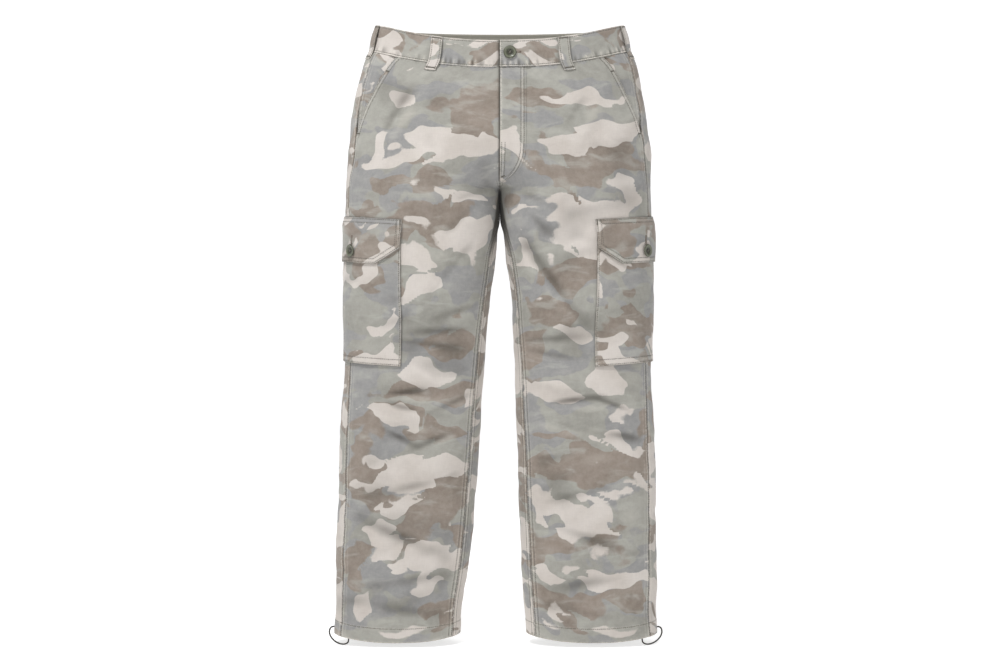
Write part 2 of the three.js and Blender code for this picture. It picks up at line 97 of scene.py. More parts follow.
def curve_through(rows, column):
    """A smooth curve through one column of a table, read at any height. Rows go from high to low."""
    keys = np.array([row[0] for row in rows], float)
    values = np.array([row[column] for row in rows], float)
    last = len(keys) - 1
    before = np.maximum(np.arange(last + 1) - 1, 0)
    after = np.minimum(np.arange(last + 1) + 1, last)
    slope = (values[after] - values[before]) / (keys[after] - keys[before])

    def read(height):
        h = np.asarray(height, float)
        i = np.clip(np.searchsorted(-keys, -h, side="right") - 1, 0, last - 1)
        span = keys[i + 1] - keys[i]
        t = np.clip((h - keys[i]) / span, 0, 1)
        t2 = t * t
        t3 = t2 * t
        start = (2 * t3 - 3 * t2 + 1) * values[i] + (t3 - 2 * t2 + t) * span * slope[i]
        end = (3 * t2 - 2 * t3) * values[i + 1] + (t3 - t2) * span * slope[i + 1]
        return start + end

    return read


def soft_noise(x, y, seed):
    """Smooth noise from -1 to 1 over a plane, one bump to each unit of length."""
    size = 64
    grid = np.random.default_rng(seed).uniform(-1, 1, (size, size))
    xi = np.floor(x).astype(int)
    yi = np.floor(y).astype(int)
    u = ease(x - xi)
    v = ease(y - yi)
    a = grid[xi % size, yi % size]
    b = grid[(xi + 1) % size, yi % size]
    c = grid[xi % size, (yi + 1) % size]
    d = grid[(xi + 1) % size, (yi + 1) % size]
    return mix(mix(a, b, u), mix(c, d, u), v)


def turned(a, h, long, short, degrees):
    """Two measures on the cloth, turned, and counted in lengths one way and in breadths the other."""
    turn = math.radians(degrees)
    u = (a * math.cos(turn) + h * math.sin(turn)) / long
    v = (h * math.cos(turn) - a * math.sin(turn)) / short
    return u, v


def turned_noise(a, h, long, short, degrees, seed):
    """Noise whose bumps are long one way and short the other, turned on the cloth."""
    return soft_noise(*turned(a, h, long, short, degrees), seed)


# The cloth's surface, as in the part. A place on it is a side (+1 left, -1 right), the distance across
# the cloth from the side seam (more than 0 towards the front) and a height.

# height, outRight, inRight, outLeft, inLeft, front, back
SECTIONS = [
    [40, 209, 0, 209, 0, 83, 86],
    [19, 212, 0, 212, 0, 84, 88],
    [-7, 218, 0, 218, 0, 86, 93],
    [-23, 228, 0, 228, 0, 88, 97],
    [-41, 234, 0, 234, 0, 91, 103],
    [-75, 243, 0, 240, 0, 95, 112],
    [-120, 251, 0, 248, 0, 98, 121],
    [-177, 258, 0, 255, 0, 99, 125],
    [-245, 262, 0.2, 257, 0.2, 95, 117],
    [-290, 263, 1.6, 258, 2.6, 92, 106],
    [-347, 263, 6, 258, 8.5, 88, 96],
    [-415, 263, 14.5, 257, 18.7, 82, 86],
    [-483, 263, 22, 256, 22, 75, 79],
    [-551, 265, 27, 257, 25.5, 70, 74],
    [-619, 269, 32, 260, 27, 67, 71],
    [-687, 272, 36, 263.5, 30, 65, 69],
    [-755, 274, 41, 265, 31, 63, 67],
    [-823, 277, 46, 266, 34, 61, 65],
    [-891, 279, 54, 266, 37, 59, 63],
    [-942, 280, 63, 265.5, 41, 58, 61],
    [-1000, 279, 68, 267, 46, 58, 60],
]
OVAL_POWER = 2.25
CROTCH_BLEND = 170
FRONT_DIP = 36
FRONT_DIP_END = -200
HEM_DIP = 10
HEM_DIP_START = -880
SIDE_SEAM = [[40, -9], [-100, -9], [-160, -12.5], [-210, -16.5], [-280, -18.5], [-1000, -18.5]]
INSEAM_ANGLE = -161
INSEAM_EASE = 120

# side, across, height, reach, breadth, tilt, depth: the part's folds
FOLDS = [
    [-1, 120, -596, 78, 20, -6, -6.5],
    [-1, 112, -566, 70, 17, 4, 4.5],
    [-1, 124, -662, 66, 20, 8, -5.5],
    [-1, 108, -628, 74, 17, 3, 4.5],
    [-1, 150, -480, 62, 19, -14, -4.5],
    [-1, 150, -706, 52, 18, -16, 3.5],
    [-1, 116, -770, 66, 26, 16, -3],
    [-1, 120, -876, 72, 28, -10, 3],
    [-1, 122, -178, 76, 24, 62, -4.5],
    [-1, 150, -300, 62, 24, 30, -3.5],
    [-1, -150, -560, 84, 24, 6, -6.5],
    [-1, -140, -610, 78, 22, -8, 5],
    [-1, -120, -300, 92, 28, -20, -6],
    [-1, -130, -800, 80, 28, 12, -4],
    [1, 118, -606, 74, 20, 14, -6],
    [1, 108, -578, 66, 17, 8, 4.5],
    [1, 92, -664, 74, 20, 16, -5],
    [1, 128, -636, 62, 17, -8, 4],
    [1, 150, -496, 62, 19, -16, -4.5],
    [1, 120, -742, 62, 26, -12, -3],
    [1, 110, -860, 70, 28, 10, 3],
    [1, 118, -196, 74, 24, -60, -3.5],
    [1, 142, -300, 66, 24, -30, -4],
    [1, -150, -566, 84, 24, -6, -6.5],
    [1, -140, -616, 78, 22, 8, 5],
    [1, -120, -306, 92, 28, 20, -6],
    [1, -130, -806, 80, 28, -12, -4],
]
# The finer creases between those folds, sharper than the part's walls can hold
CREASES = [
    [-1, 105, -586, 48, 6, 8, -3.4],
    [-1, 112, -598, 50, 7, 0, 2.2],
    [-1, 100, -611, 44, 6, -13, -2.8],
    [-1, 184, -605, 40, 6, 21, -2.8],
    [-1, 180, -572, 38, 7, 12, 2.2],
    [-1, 84, -634, 40, 7, -18, 1.8],
    [-1, 100, -664, 36, 6, -27, -2.6],
    [-1, 155, -667, 36, 6, 22, -2.6],
    [-1, 124, -652, 40, 7, 0, 1.8],
    [-1, 165, -484, 56, 6, 2, -2.2],
    [-1, 158, -509, 46, 6, -8, -2.2],
    [-1, 190, -454, 42, 7, 16, -2.2],
    [-1, 186, -380, 74, 10, 48, -2.4],
    [-1, 205, -300, 40, 9, 40, -2.2],
    [-1, 214, -262, 34, 8, 20, -2],
    [-1, 96, -120, 60, 10, 66, 2],
    [-1, 76, -110, 54, 9, 70, -1.8],
    [-1, 130, -742, 60, 8, 14, -1.8],
    [-1, 96, -826, 64, 9, -22, -1.8],
    [-1, 120, -900, 60, 9, 8, -2],
    [-1, 110, -946, 56, 8, -8, -1.8],
    [-1, -128, -540, 70, 8, 4, -3],
    [-1, -140, -586, 66, 8, 2, -2.8],
    [-1, -120, -640, 60, 9, -10, 2.2],
    [-1, -160, -330, 60, 9, -28, -2.8],
    [-1, -150, -270, 70, 9, -24, -2.4],
    [-1, -240, -286, 60, 9, -34, -2.4],
    [-1, -120, -930, 70, 10, 8, -2],
    [-1, -90, -760, 66, 9, 16, -2],
    [1, 64, -607, 38, 6, 20, -3],
    [1, 132, -600, 44, 6, -8, -3],
    [1, 108, -614, 50, 7, 2, 2.2],
    [1, 44, -661, 28, 6, 10, -2.4],
    [1, 150, -640, 42, 6, 16, -2.6],
    [1, 92, -650, 50, 7, -8, 1.8],
    [1, 168, -574, 36, 7, 14, 2],
    [1, 176, -498, 48, 6, -4, -2.2],
    [1, 170, -524, 42, 6, 10, -2],
    [1, 184, -392, 84, 10, 52, -2.8],
    [1, 160, -440, 60, 8, 46, 1.8],
    [1, 205, -304, 40, 9, 40, -2.2],
    [1, 214, -264, 34, 8, 20, -2],
    [1, 100, -130, 60, 10, -62, 1.9],
    [1, 126, -112, 52, 9, -56, -1.8],
    [1, 120, -756, 60, 8, -14, -1.8],
    [1, 100, -834, 64, 9, 20, -1.8],
    [1, 118, -906, 60, 9, -8, -2],
    [1, 110, -950, 56, 8, 9, -1.8],
    [1, -128, -546, 70, 8, -4, -3],
    [1, -140, -592, 66, 8, -2, -2.8],
    [1, -120, -646, 60, 9, 10, 2.2],
    [1, -160, -336, 60, 9, -26, -2.8],
    [1, -150, -276, 70, 9, -22, -2.4],
    [1, -240, -290, 60, 9, -34, -2.4],
    [1, -120, -936, 70, 10, -8, -2],
    [1, -94, -770, 66, 9, -16, -2],
]
SEAM_FADE = 34
CREASE_FADE = 16

MEASURES = ["outR", "inR", "outL", "inL", "front", "back"]
SIZE = {name: curve_through(SECTIONS, k) for k, name in enumerate(MEASURES, 1)}
SEAM_ANGLE = curve_through(SIDE_SEAM, 1)

# Heights and distances at which each side's level lines are worked out beforehand
TOP_ROW = 46
ROW_STEP = 2
HEIGHTS = np.arange(TOP_ROW, -1022, -ROW_STEP, dtype=float)
FAR_ACROSS = 470
ACROSS = np.arange(-FAR_ACROSS, FAR_ACROSS + 1, ROW_STEP, dtype=float)
LINE_STEPS = 180


def level_lines(side):
    """The cloth's level lines on one side: a point for each height and distance across, and how far the
    cloth reaches in front and behind."""
    h = HEIGHTS
    out = SIZE["outL" if side > 0 else "outR"](h)
    inner = SIZE["inL" if side > 0 else "inR"](h)
    narrow = (1 - np.clip((h - CROTCH) / CROTCH_BLEND, 0, 1)) ** 2
    inner = np.where(h > CROTCH, EDGE_INSET - out * (1 - narrow) / (1 + narrow), inner)
    centre = ((out + inner) / 2)[:, None]
    half = ((out - inner) / 2)[:, None]
    front = SIZE["front"](h)[:, None]
    back = SIZE["back"](h)[:, None]

    def oval(angle):
        depth = np.where(np.sin(angle) < 0, front, back)
        power = np.abs(np.cos(angle) / half) ** OVAL_POWER + np.abs(np.sin(angle) / depth) ** OVAL_POWER
        radius = power ** (-1 / OVAL_POWER)
        return centre + radius * np.cos(angle), radius * np.sin(angle)

    def middle_angle(face):
        low = np.full_like(h, math.pi / 2)
        high = np.full_like(h, math.pi)
        for _ in range(50):
            at = (low + high) / 2
            beyond = oval((face * at)[:, None])[0][:, 0] > EDGE_INSET
            low = np.where(beyond, at, low)
            high = np.where(beyond, high, at)
        return face * low

    legs = h <= CROTCH
    inseam = np.radians(mix(-180, INSEAM_ANGLE, ease((CROTCH - h) / INSEAM_EASE)))
    first = np.where(legs, inseam, middle_angle(-1))
    last = np.where(legs, inseam + 2 * math.pi, middle_angle(1))
    share = np.linspace(0, 1, LINE_STEPS + 1)[None, :]
    angles = mix(first[:, None], last[:, None], share)
    x, y = oval(angles)
    steps = np.hypot(np.diff(x), np.diff(y))
    lengths = np.concatenate([np.zeros((len(h), 1)), np.cumsum(steps, 1)], 1)
    seam = np.radians(SEAM_ANGLE(h))
    points = np.zeros((len(h), len(ACROSS), 2))
    front_reach = np.zeros(len(h))
    back_reach = np.zeros(len(h))
    for i in range(len(h)):
        total = lengths[i, -1]
        front_reach[i] = np.interp(seam[i], angles[i], lengths[i])
        back_reach[i] = total - front_reach[i]
        want = front_reach[i] - ACROSS
        for axis, line in enumerate((x[i], y[i])):
            at = np.interp(want, lengths[i], line)
            start_slope = (line[1] - line[0]) / lengths[i, 1]
            end_slope = (line[-1] - line[-2]) / (total - lengths[i, -2])
            at = np.where(want < 0, line[0] + start_slope * want, at)
            points[i, :, axis] = np.where(want > total, line[-1] + end_slope * (want - total), at)
    return points, front_reach, back_reach


LINES = {side: level_lines(side) for side in (-1, 1)}


def between_lines(points, across, height):
    i = np.clip((TOP_ROW - height) / ROW_STEP, 0, len(HEIGHTS) - 1.001)
    j = np.clip((across + FAR_ACROSS) / ROW_STEP, 0, len(ACROSS) - 1.001)
    i0 = i.astype(int)
    j0 = j.astype(int)
    u = (i - i0)[..., None]
    v = (j - j0)[..., None]
    upper = mix(points[i0, j0], points[i0, j0 + 1], v)
    lower = mix(points[i0 + 1, j0], points[i0 + 1, j0 + 1], v)
    return mix(upper, lower, u)


def reach(side, height, face):
    """How far the cloth reaches from the side seam to its inner seam, in front (+1) or behind (-1)."""
    lengths = LINES[side][1 if face > 0 else 2]
    return np.interp(-np.asarray(height, float), -HEIGHTS, lengths)


def from_seams(side, across, height):
    """How far a place is from the nearer of the inner seams in front and behind."""
    return np.minimum(reach(side, height, 1) - across, reach(side, height, -1) + across)


def summed_folds(rows, side, across, height):
    depth = np.zeros_like(across)
    for on_side, middle, level, long, short, tilt, push in rows:
        if on_side == side:
            u, v = turned(across - middle, height - level, long, short, tilt)
            depth += push * np.exp(-u * u - v * v)
    return depth


def small_folds(side, across, height):
    """The creases, and the ripples where the cloth lies slack between the folds."""
    to_seam = from_seams(side, across, height)
    broad = 1.4 * turned_noise(across, height, 80, 44, 14 * side, 11)
    fine = 0.75 * turned_noise(across, height, 34, 17, -12 * side, 12)
    slack = (broad + fine) * ease((WAIST_SEAM - 12 - height) / 50) * ease(to_seam / SEAM_FADE)
    return summed_folds(CREASES, side, across, height) * ease(to_seam / CREASE_FADE) + slack


def fold_depth(side, across, height):
    folds = summed_folds(FOLDS, side, across, height) * ease(from_seams(side, across, height) / SEAM_FADE)
    return folds + small_folds(side, across, height)


def flat_point(side, across, height):
    """The cloth's own surface on one side."""
    points = LINES[side][0]
    at = between_lines(points, across, height)
    near = between_lines(points, across - 1, height)
    step = near - at
    length = np.hypot(step[..., 0], step[..., 1]) + 1e-9
    push = fold_depth(side, across, height)
    frontness = np.clip(-at[..., 1] / SIZE["front"](height), 0, 1) ** OVAL_POWER
    waist_dip = FRONT_DIP * ease((height - FRONT_DIP_END) / (WAIST_SEAM - FRONT_DIP_END))
    leg_dip = HEM_DIP * ease((HEM_DIP_START - height) / (HEM_DIP_START - HEM))
    x = side * (at[..., 0] + step[..., 1] / length * push)
    y = at[..., 1] - step[..., 0] / length * push
    return np.stack([x, y, height - (waist_dip + leg_dip) * frontness], -1)


NORMAL_STEP = 2.0


def lifted_point(side, across, height, lift):
    """Points lifted off the cloth. side may change from point to point."""
    side, across, height, lift = np.broadcast_arrays(side, across, height, lift)
    result = np.zeros(across.shape + (3,))
    for one in (-1, 1):
        here = side == one
        if not here.any():
            continue
        a = across[here].astype(float)
        h = height[here].astype(float)
        along = flat_point(one, a + NORMAL_STEP, h) - flat_point(one, a - NORMAL_STEP, h)
        up = flat_point(one, a, h + NORMAL_STEP) - flat_point(one, a, h - NORMAL_STEP)
        normal = np.cross(up, along) * one
        normal /= np.linalg.norm(normal, axis=-1, keepdims=True)
        result[here] = flat_point(one, a, h) + normal * lift[here][:, None]
    return result


# Layers. A layer turns its own two measures into a side, across, height and lift.

# Panels
SLANT_WIDTH = 46
SLANT_BOTTOM = -160
POCKET_HALF_WIDTH = 88
POCKET_TOP = -311
POCKET_BOTTOM = -538
POCKET_FORWARD = 15.5
POCKET_LEVEL = -350
POCKET_LEAN = 0.04
POCKET_TILT = 0.07
POCKET_BULGE = 2.6
HEM_DEPTH = 24
FELL_WIDTH = 9
PUCKER_LENGTH = 10.5
# How far behind the inseam the legs come nearest each other
MEETING_BEHIND = 16
# How far in from its edge each row of stitches lies
FELL_ROWS = (2, FELL_WIDTH - 1)
SIDE_ROW = 2
HEM_ROW = HEM_DEPTH - 1.5
FLY_ROWS = (3.2, 8.4)
CENTRE_ROWS = (2.2, 7.8)
BAND_LOW_ROW = 2.8
BAND_TOP_ROW = 2.9
POCKET_ROW = 3
POCKET_FOOT_ROWS = (2.5, 11)
FLAP_ROWS = (2.4, 8.5)
LOOP_ROW = 3.2


def slant_across(height):
    return SLANT_WIDTH * np.clip((height - SLANT_BOTTOM) / (WAIST_SEAM - SLANT_BOTTOM), 0, 1)


def groove(distance, at, width=1.1):
    """1 on a line that runs along an edge at this distance, and 0 a little away from it."""
    return np.exp(-(((distance - at) / width) ** 2))


def furrows(distance, rows, width=1.1):
    """Where rows of stitches press the cloth in."""
    return sum(groove(distance, at, width) for at in rows)


def under_pocket(across, height):
    """1 under a cargo pocket or its flap, where the panel stays smooth, and 0 elsewhere."""
    middle = POCKET_FORWARD + POCKET_LEAN * (height - POCKET_LEVEL)
    beside = ease((POCKET_HALF_WIDTH + 10 - np.abs(across - middle)) / 7)
    return beside * ease((-278 - height) / 8) * ease((height - POCKET_BOTTOM + 20) / 8)


def panel_relief(side, across, height, face):
    """What sewing does to a panel: felled seams, stitched furrows, puckers and the turned hem."""
    inner = np.abs(face * reach(side, height, face) - across)
    outer = np.abs(across - (slant_across(height) if face > 0 else 0))
    upto_hem = height - HEM
    to_waist = WAIST_SEAM - height
    relief = np.zeros_like(across)
    # Felled inseam and centre seam, double stitched
    relief += 0.55 * ease((FELL_WIDTH + 1 - inner) / 1.8)
    relief -= 0.38 * furrows(inner, FELL_ROWS)
    # Side seam: the allowances behind it lift the cloth a little and the crack draws in
    relief += 0.35 * groove(outer, 5, 4)
    relief -= 0.5 * groove(outer, 0, 1.3)
    # Turned hem
    relief += 0.6 * ease((HEM_DEPTH + 1.5 - upto_hem) / 3)
    relief -= 0.45 * groove(upto_hem, HEM_ROW, 1.3)
    # Just below the crotch the legs' cloth meets
    gap = SIZE["inL" if side > 0 else "inR"](height) - 0.35
    meeting = ease((height + 322) / 28) * groove(inner, -face * MEETING_BEHIND, 30)
    relief += np.clip(gap, 0, 4) * meeting * (height < CROTCH)
    # Puckers run out from each seam
    along = height / PUCKER_LENGTH
    relief += 0.34 * soft_noise(along, across / 40 + 3 * side, 21) * np.exp(-inner / 9)
    relief += 0.3 * soft_noise(along * 0.8, across / 40 + 5 * side, 22) * np.exp(-outer / 8)
    across_noise = soft_noise(across / 8.5, height / 30 + side, 23)
    relief += 0.5 * across_noise * np.exp(-upto_hem / 22)
    relief += 0.55 * across_noise * np.exp(-np.abs(to_waist) / 9) * ease(to_waist / 4)
    return relief * (1 - under_pocket(across, height))


def panel_layer(side, face):
    def layer(across, height):
        return side, across, height, panel_relief(side, across, height, face)

    return layer


# Fly
FLY_WIDTH = 42
FLY_BEND = -180
FLY_BOTTOM = -236
FLY_FOOT = 7
FLY_EDGE = 1
FLY_THICKNESS = 1.4
# The fly's cloth is drawn thinner than its solid, so that its thin outline stays clear of the panel
FLY_CLOTH = 1.0
# Below this the fly is caught in the centre seam
FLY_CAUGHT = -170


def fly_width(height):
    t = np.clip((FLY_BEND - height) / (FLY_BEND - FLY_BOTTOM), 0, 1)
    return FLY_FOOT + (FLY_WIDTH - FLY_FOOT) * np.sqrt(1 - t * t)


def fly_layer(from_edge, height):
    """from_edge runs from the lapped front edge, and the fly thins out to its stitched outline."""
    width = fly_width(height)
    across = reach(1, height, 1) - FLY_EDGE - from_edge
    inward = np.clip(width - from_edge, 0, None)
    lift = LAYER_CLEARANCE + 0.35 + (FLY_THICKNESS - 0.35) * ease(inward / 16)
    lift -= 0.35 * furrows(inward, FLY_ROWS)
    lift += 0.3 * soft_noise(height / 9, from_edge / 30, 31)
    return 1, across, height, lift


# Waistband. round_ counts its quarters from the centre front: right front and back, left back and front.
BAND_OUT = 0.8
BAND_THICKNESS = 2.6
BAND_LAP_RISE = 3.0
BAND_LAP_START = 64
BAND_LAP_FULL = 44
BAND_UNDERLAP = 36
BAND_QUARTER = 252


def band_pucker(round_, up):
    """The gathers above the waistband's seam, about 10 mm apart."""
    along = round_ * BAND_QUARTER
    return soft_noise(along / 5.2, up / 60, 41) * (0.65 + 0.35 * soft_noise(along / 60, up / 60, 44))


def band_place(round_, height):
    quarter = np.clip(np.floor(round_), -1, 3)
    side = np.where((quarter == 0) | (quarter == 1), -1, 1)
    face = np.where((quarter == 1) | (quarter == 2), -1, 1)
    share = np.select(
        [quarter == -1, quarter == 0, quarter == 1, quarter == 2],
        [1 + round_, 1 - round_, round_ - 1, 3 - round_],
        round_ - 3,
    )
    right = np.where(face > 0, reach(-1, height, 1), reach(-1, height, -1))
    left = np.where(face > 0, reach(1, height, 1), reach(1, height, -1))
    whole = np.where(side < 0, right, left)
    return side, face * share * whole, (1 - share) * whole, quarter


def band_layer(round_, height):
    round_, height = np.broadcast_arrays(np.asarray(round_, float), np.asarray(height, float))
    side, across, from_middle, quarter = band_place(round_, height)
    lapped = ease((BAND_LAP_START - from_middle) / (BAND_LAP_START - BAND_LAP_FULL))
    rise = np.where(quarter == 3, BAND_LAP_RISE * lapped, 0)
    up = height - WAIST_SEAM
    down = WAIST_TOP - height
    along = round_ * BAND_QUARTER / 10
    pull = np.exp(-up / 9) * ease(up / 2.5)
    relief = 0.9 * band_pucker(round_, up) * pull
    relief += 0.3 * soft_noise(along * 0.9, up / 60 + 7, 42) * np.exp(-down / 8)
    relief += 0.35 * soft_noise(along / 5, up / 26, 43)
    relief -= 0.35 * (groove(up, 2.6) + groove(down, 2.8))
    return side, across, height, BAND_OUT + rise + relief


# Cargo pockets and flaps
FLAP_HALF_WIDTH = 90
FLAP_CORNER_HALF = 86
FLAP_TOP = -294
FLAP_DROP = 76
FLAP_CORNER_DROP = 48
FLAP_FOOT_HALF = 46
FLAP_CLEARANCE = 1.2


def pocket_lift(along, level):
    u = np.clip(along / POCKET_HALF_WIDTH, -1, 1)
    t = np.clip((level - POCKET_BOTTOM) / (POCKET_TOP - POCKET_BOTTOM), 0, 1)
    return LAYER_CLEARANCE + POCKET_BULGE * (1 - u * u) * np.sin(math.pi * mix(0.08, 0.8, t))


def flap_lift(along, level):
    on_pocket = ease((FLAP_TOP - level) / (FLAP_TOP - POCKET_TOP - 2))
    over = pocket_lift(along, np.minimum(level, POCKET_TOP)) + CLOTH_THICKNESS + FLAP_CLEARANCE
    return mix(LAYER_CLEARANCE, over, on_pocket)


def flap_half_width(drop):
    straight = mix(FLAP_HALF_WIDTH, FLAP_CORNER_HALF, np.clip(drop / FLAP_CORNER_DROP, 0, 1))
    past = np.clip((drop - FLAP_CORNER_DROP) / (FLAP_DROP - FLAP_CORNER_DROP), 0, 1)
    # The corner is turned on a small round
    return mix(straight, FLAP_FOOT_HALF, past ** 1.12)


def flap_edge(along, drop):
    """How far a place on the flap is from its sides, its cut-off corners and its foot."""
    beside = np.abs(along)
    rise = FLAP_DROP - FLAP_CORNER_DROP
    run = FLAP_CORNER_HALF - FLAP_FOOT_HALF
    corner = ((FLAP_CORNER_HALF - beside) * rise + (FLAP_CORNER_DROP - drop) * run) / math.hypot(rise, run)
    return np.clip(np.minimum.reduce([flap_half_width(0) - beside, corner, FLAP_DROP - drop]), 0, None)


def pocket_place(side, along, level, lift):
    middle = POCKET_FORWARD + POCKET_LEAN * (level - POCKET_LEVEL)
    return side, middle + along, level - POCKET_TILT * along, lift


def pocket_layer(side):
    def layer(along, level):
        edge = POCKET_HALF_WIDTH - np.abs(along)
        foot = level - POCKET_BOTTOM
        relief = 0.5 * ease((12 - foot) / 2) - 0.35 * groove(foot, POCKET_FOOT_ROWS[1])
        relief -= 0.35 * groove(edge, POCKET_ROW)
        relief += 0.3 * soft_noise(level / 9, along / 40 + side, 51) * np.exp(-edge / 8)
        relief += 0.4 * soft_noise(along / 9, level / 40, 52) * np.exp(-foot / 12)
        relief += 0.5 * soft_noise(along / 46 + side, level / 52, 53) * ease(edge / 16) * ease(foot / 16)
        lift = pocket_lift(along, level) + CLOTH_THICKNESS + relief * 0.9
        return pocket_place(side, along, level, lift)

    return layer


def flap_layer(side):
    """along is the share of the flap's half width, from -1 to 1."""

    def layer(share, drop):
        half = flap_half_width(drop)
        along = share * half
        level = FLAP_TOP - drop
        edge = flap_edge(along, drop)
        relief = -0.35 * furrows(edge, FLAP_ROWS)
        relief += 0.28 * soft_noise((along + level) / 8, along / 40 + side, 61) * np.exp(-edge / 8)
        relief += 0.3 * soft_noise(along / 9, level / 40 + side, 62) * np.exp(-drop / 9)
        relief += 0.5 * soft_noise(along / 40 + side, level / 30, 63) * ease(edge / 12)
        lift = flap_lift(along, level) + CLOTH_THICKNESS + np.maximum(relief, -0.4)
        return pocket_place(side, along, level, lift)

    return layer


# Belt loops: height and how far the underside stands off the band
LOOP_WIDTH = 20
LOOP_THICKNESS = 2
LOOP_PROFILE = [[33, 1.3], [25, 2.4], [14, 3.5], [2, 3.8], [-8, 3], [-16, 1.3], [-24, 0.5]]
SIDE_LOOP_PROFILE = [[33, 0.6], [25, 2.5], [14, 4.3], [2, 4.5], [-8, 2.9], [-16, 0.7], [-24, -0.2]]
# side, distance of its top and of its foot from the middle plane, face
LOOPS = {
    "belt_loop_front_right": (-1, 104, 109, 1),
    "belt_loop_front_left": (1, 105, 109, 1),
    "belt_loop_back_right": (-1, 113, 118, -1),
    "belt_loop_back_left": (1, 113, 118, -1),
}
SIDE_LOOP_ACROSS = -13
LOOP_TOP = 33
LOOP_FOOT = -24


def across_at(side, height, distance, face):
    """The across of a place on the waist this far from the middle plane."""
    near = 0.0
    far = face * float(reach(side, height, face))
    for _ in range(40):
        half = (near + far) / 2
        at = flat_point(side, np.array([half]), np.array([float(height)]))
        if abs(at[0, 0]) > distance:
            near = half
        else:
            far = half
    return (near + far) / 2


def loop_lift(profile, beside, height):
    """A loop is a folded strip: rounded at its sides and pressed down where it is tacked."""
    lift = curve_through(profile, 1)(height) + LOOP_THICKNESS
    from_middle = np.abs(beside)
    lift = lift - 0.5 * np.clip(from_middle / (LOOP_WIDTH / 2), 0, 1) ** 4
    return lift - 0.3 * groove(LOOP_WIDTH / 2 - from_middle, LOOP_ROW)


def loop_layer(side, top_across, foot_across, profile):
    def layer(beside, height):
        down = (LOOP_TOP - height) / (LOOP_TOP - LOOP_FOOT)
        across = mix(top_across, foot_across, down) + beside
        return side, across, height, loop_lift(profile, beside, height)

    return layer


def centre_back_layer(beside, height):
    beside, height = np.broadcast_arrays(np.asarray(beside, float), np.asarray(height, float))
    side = np.where(beside < 0, -1, 1)
    inner = np.where(side < 0, reach(-1, height, -1), reach(1, height, -1))
    return side, np.abs(beside) - inner, height, loop_lift(LOOP_PROFILE, beside, height)


# The print: large lobes of four tones, elongated along the weft. Three fields are worked out at each point
# of the cloth and cut off sharply in the material: cream over taupe over blue-grey over sage.
# side, across, height, half width, half height, tilt: where a tone gathers on the fronts. The lobes'
# outlines are noise.
CREAM_MASSES = [
    [-1, 164, -166, 44, 28, 10],
    [-1, 90, -202, 60, 16, 8],
    [-1, 44, -180, 14, 20, 0],
    [-1, 82, -86, 24, 20, 10],
    [-1, 222, -170, 22, 22, 0],
    [-1, 205, -262, 44, 12, -14],
    [-1, 225, -320, 46, 15, 10],
    [-1, 134, -392, 30, 34, 0],
    [-1, 134, -556, 72, 20, -4],
    [-1, 72, -628, 58, 11, -18],
    [-1, 222, -604, 24, 10, 20],
    [-1, 150, -716, 76, 17, -6],
    [-1, 74, -780, 34, 13, 16],
    [-1, 62, -812, 30, 20, 0],
    [-1, 92, -850, 24, 28, 0],
    [-1, 164, -858, 54, 17, -10],
    [-1, 146, -918, 50, 16, 6],
    [-1, 46, -940, 26, 13, 0],
    [1, 92, -86, 72, 15, 8],
    [1, 90, -156, 74, 23, -6],
    [1, 236, -170, 26, 24, 0],
    [1, 44, -244, 20, 16, 0],
    [1, 130, -286, 62, 28, 0],
    [1, 110, -336, 24, 26, 0],
    [1, 226, -350, 12, 46, -10],
    [1, 136, -490, 50, 14, 6],
    [1, 168, -590, 56, 17, -6],
    [1, 88, -570, 42, 25, 0],
    [1, 70, -666, 60, 16, 8],
    [1, 156, -776, 62, 26, -8],
    [1, 106, -802, 52, 26, 0],
    [1, 70, -902, 54, 17, -8],
    [1, 166, -890, 40, 14, 10],
]
TAUPE_MASSES = [
    [-1, 216, -108, 40, 56, -20],
    [-1, 106, -242, 64, 13, 4],
    [-1, 46, -278, 26, 15, 0],
    [-1, 150, -304, 58, 26, 6],
    [-1, 180, -508, 44, 18, -8],
    [-1, 140, -594, 82, 14, 0],
    [-1, 98, -622, 46, 11, -14],
    [-1, 164, -655, 58, 12, -4],
    [-1, 44, -746, 42, 38, 0],
    [-1, 156, -768, 74, 27, -4],
    [-1, 214, -834, 22, 20, 0],
    [-1, 30, -870, 20, 28, 0],
    [-1, 190, -950, 32, 16, 0],
    [1, 128, -208, 96, 28, -4],
    [1, 182, -76, 34, 18, 0],
    [1, 140, -386, 62, 28, -10],
    [1, 180, -450, 40, 24, 0],
    [1, 220, -516, 30, 28, 0],
    [1, 88, -706, 78, 23, -4],
    [1, 190, -710, 38, 20, 0],
    [1, 182, -660, 36, 11, 8],
    [1, 180, -846, 46, 17, -6],
    [1, 156, -936, 60, 17, 4],
    [1, 38, -932, 26, 20, 0],
]
PRINT_WARP = 15
PRINT_SEED = 70
# Thresholds that give each tone its share of the cloth
CREAM_CUT = 0.15
TAUPE_CUT = 0.1
BLUE_CUT = 0.06
# How many steps along the roll of cloth each piece was cut from the fronts, so that the print breaks at a
# seam, and how far a step takes it across and down
PRINT_SHIFTS = {
    "back_right": 1,
    "back_left": 3,
    "pocket_facing_right": 6,
    "pocket_facing_left": 8,
    "waistband": 4,
    "cargo_pocket_right": 4,
    "cargo_pocket_left": 23,
    "cargo_flap_right": 14,
    "cargo_flap_left": 18,
    "belt_loop_side_right": 16,
    "belt_loop_side_left": 18,
    "belt_loop_front_right": 21,
    "belt_loop_front_left": 22,
    "belt_loop_back_right": 23,
    "belt_loop_back_left": 24,
    "belt_loop_centre_back": 27,
}
STEP_ACROSS = 137
STEP_DOWN = 71


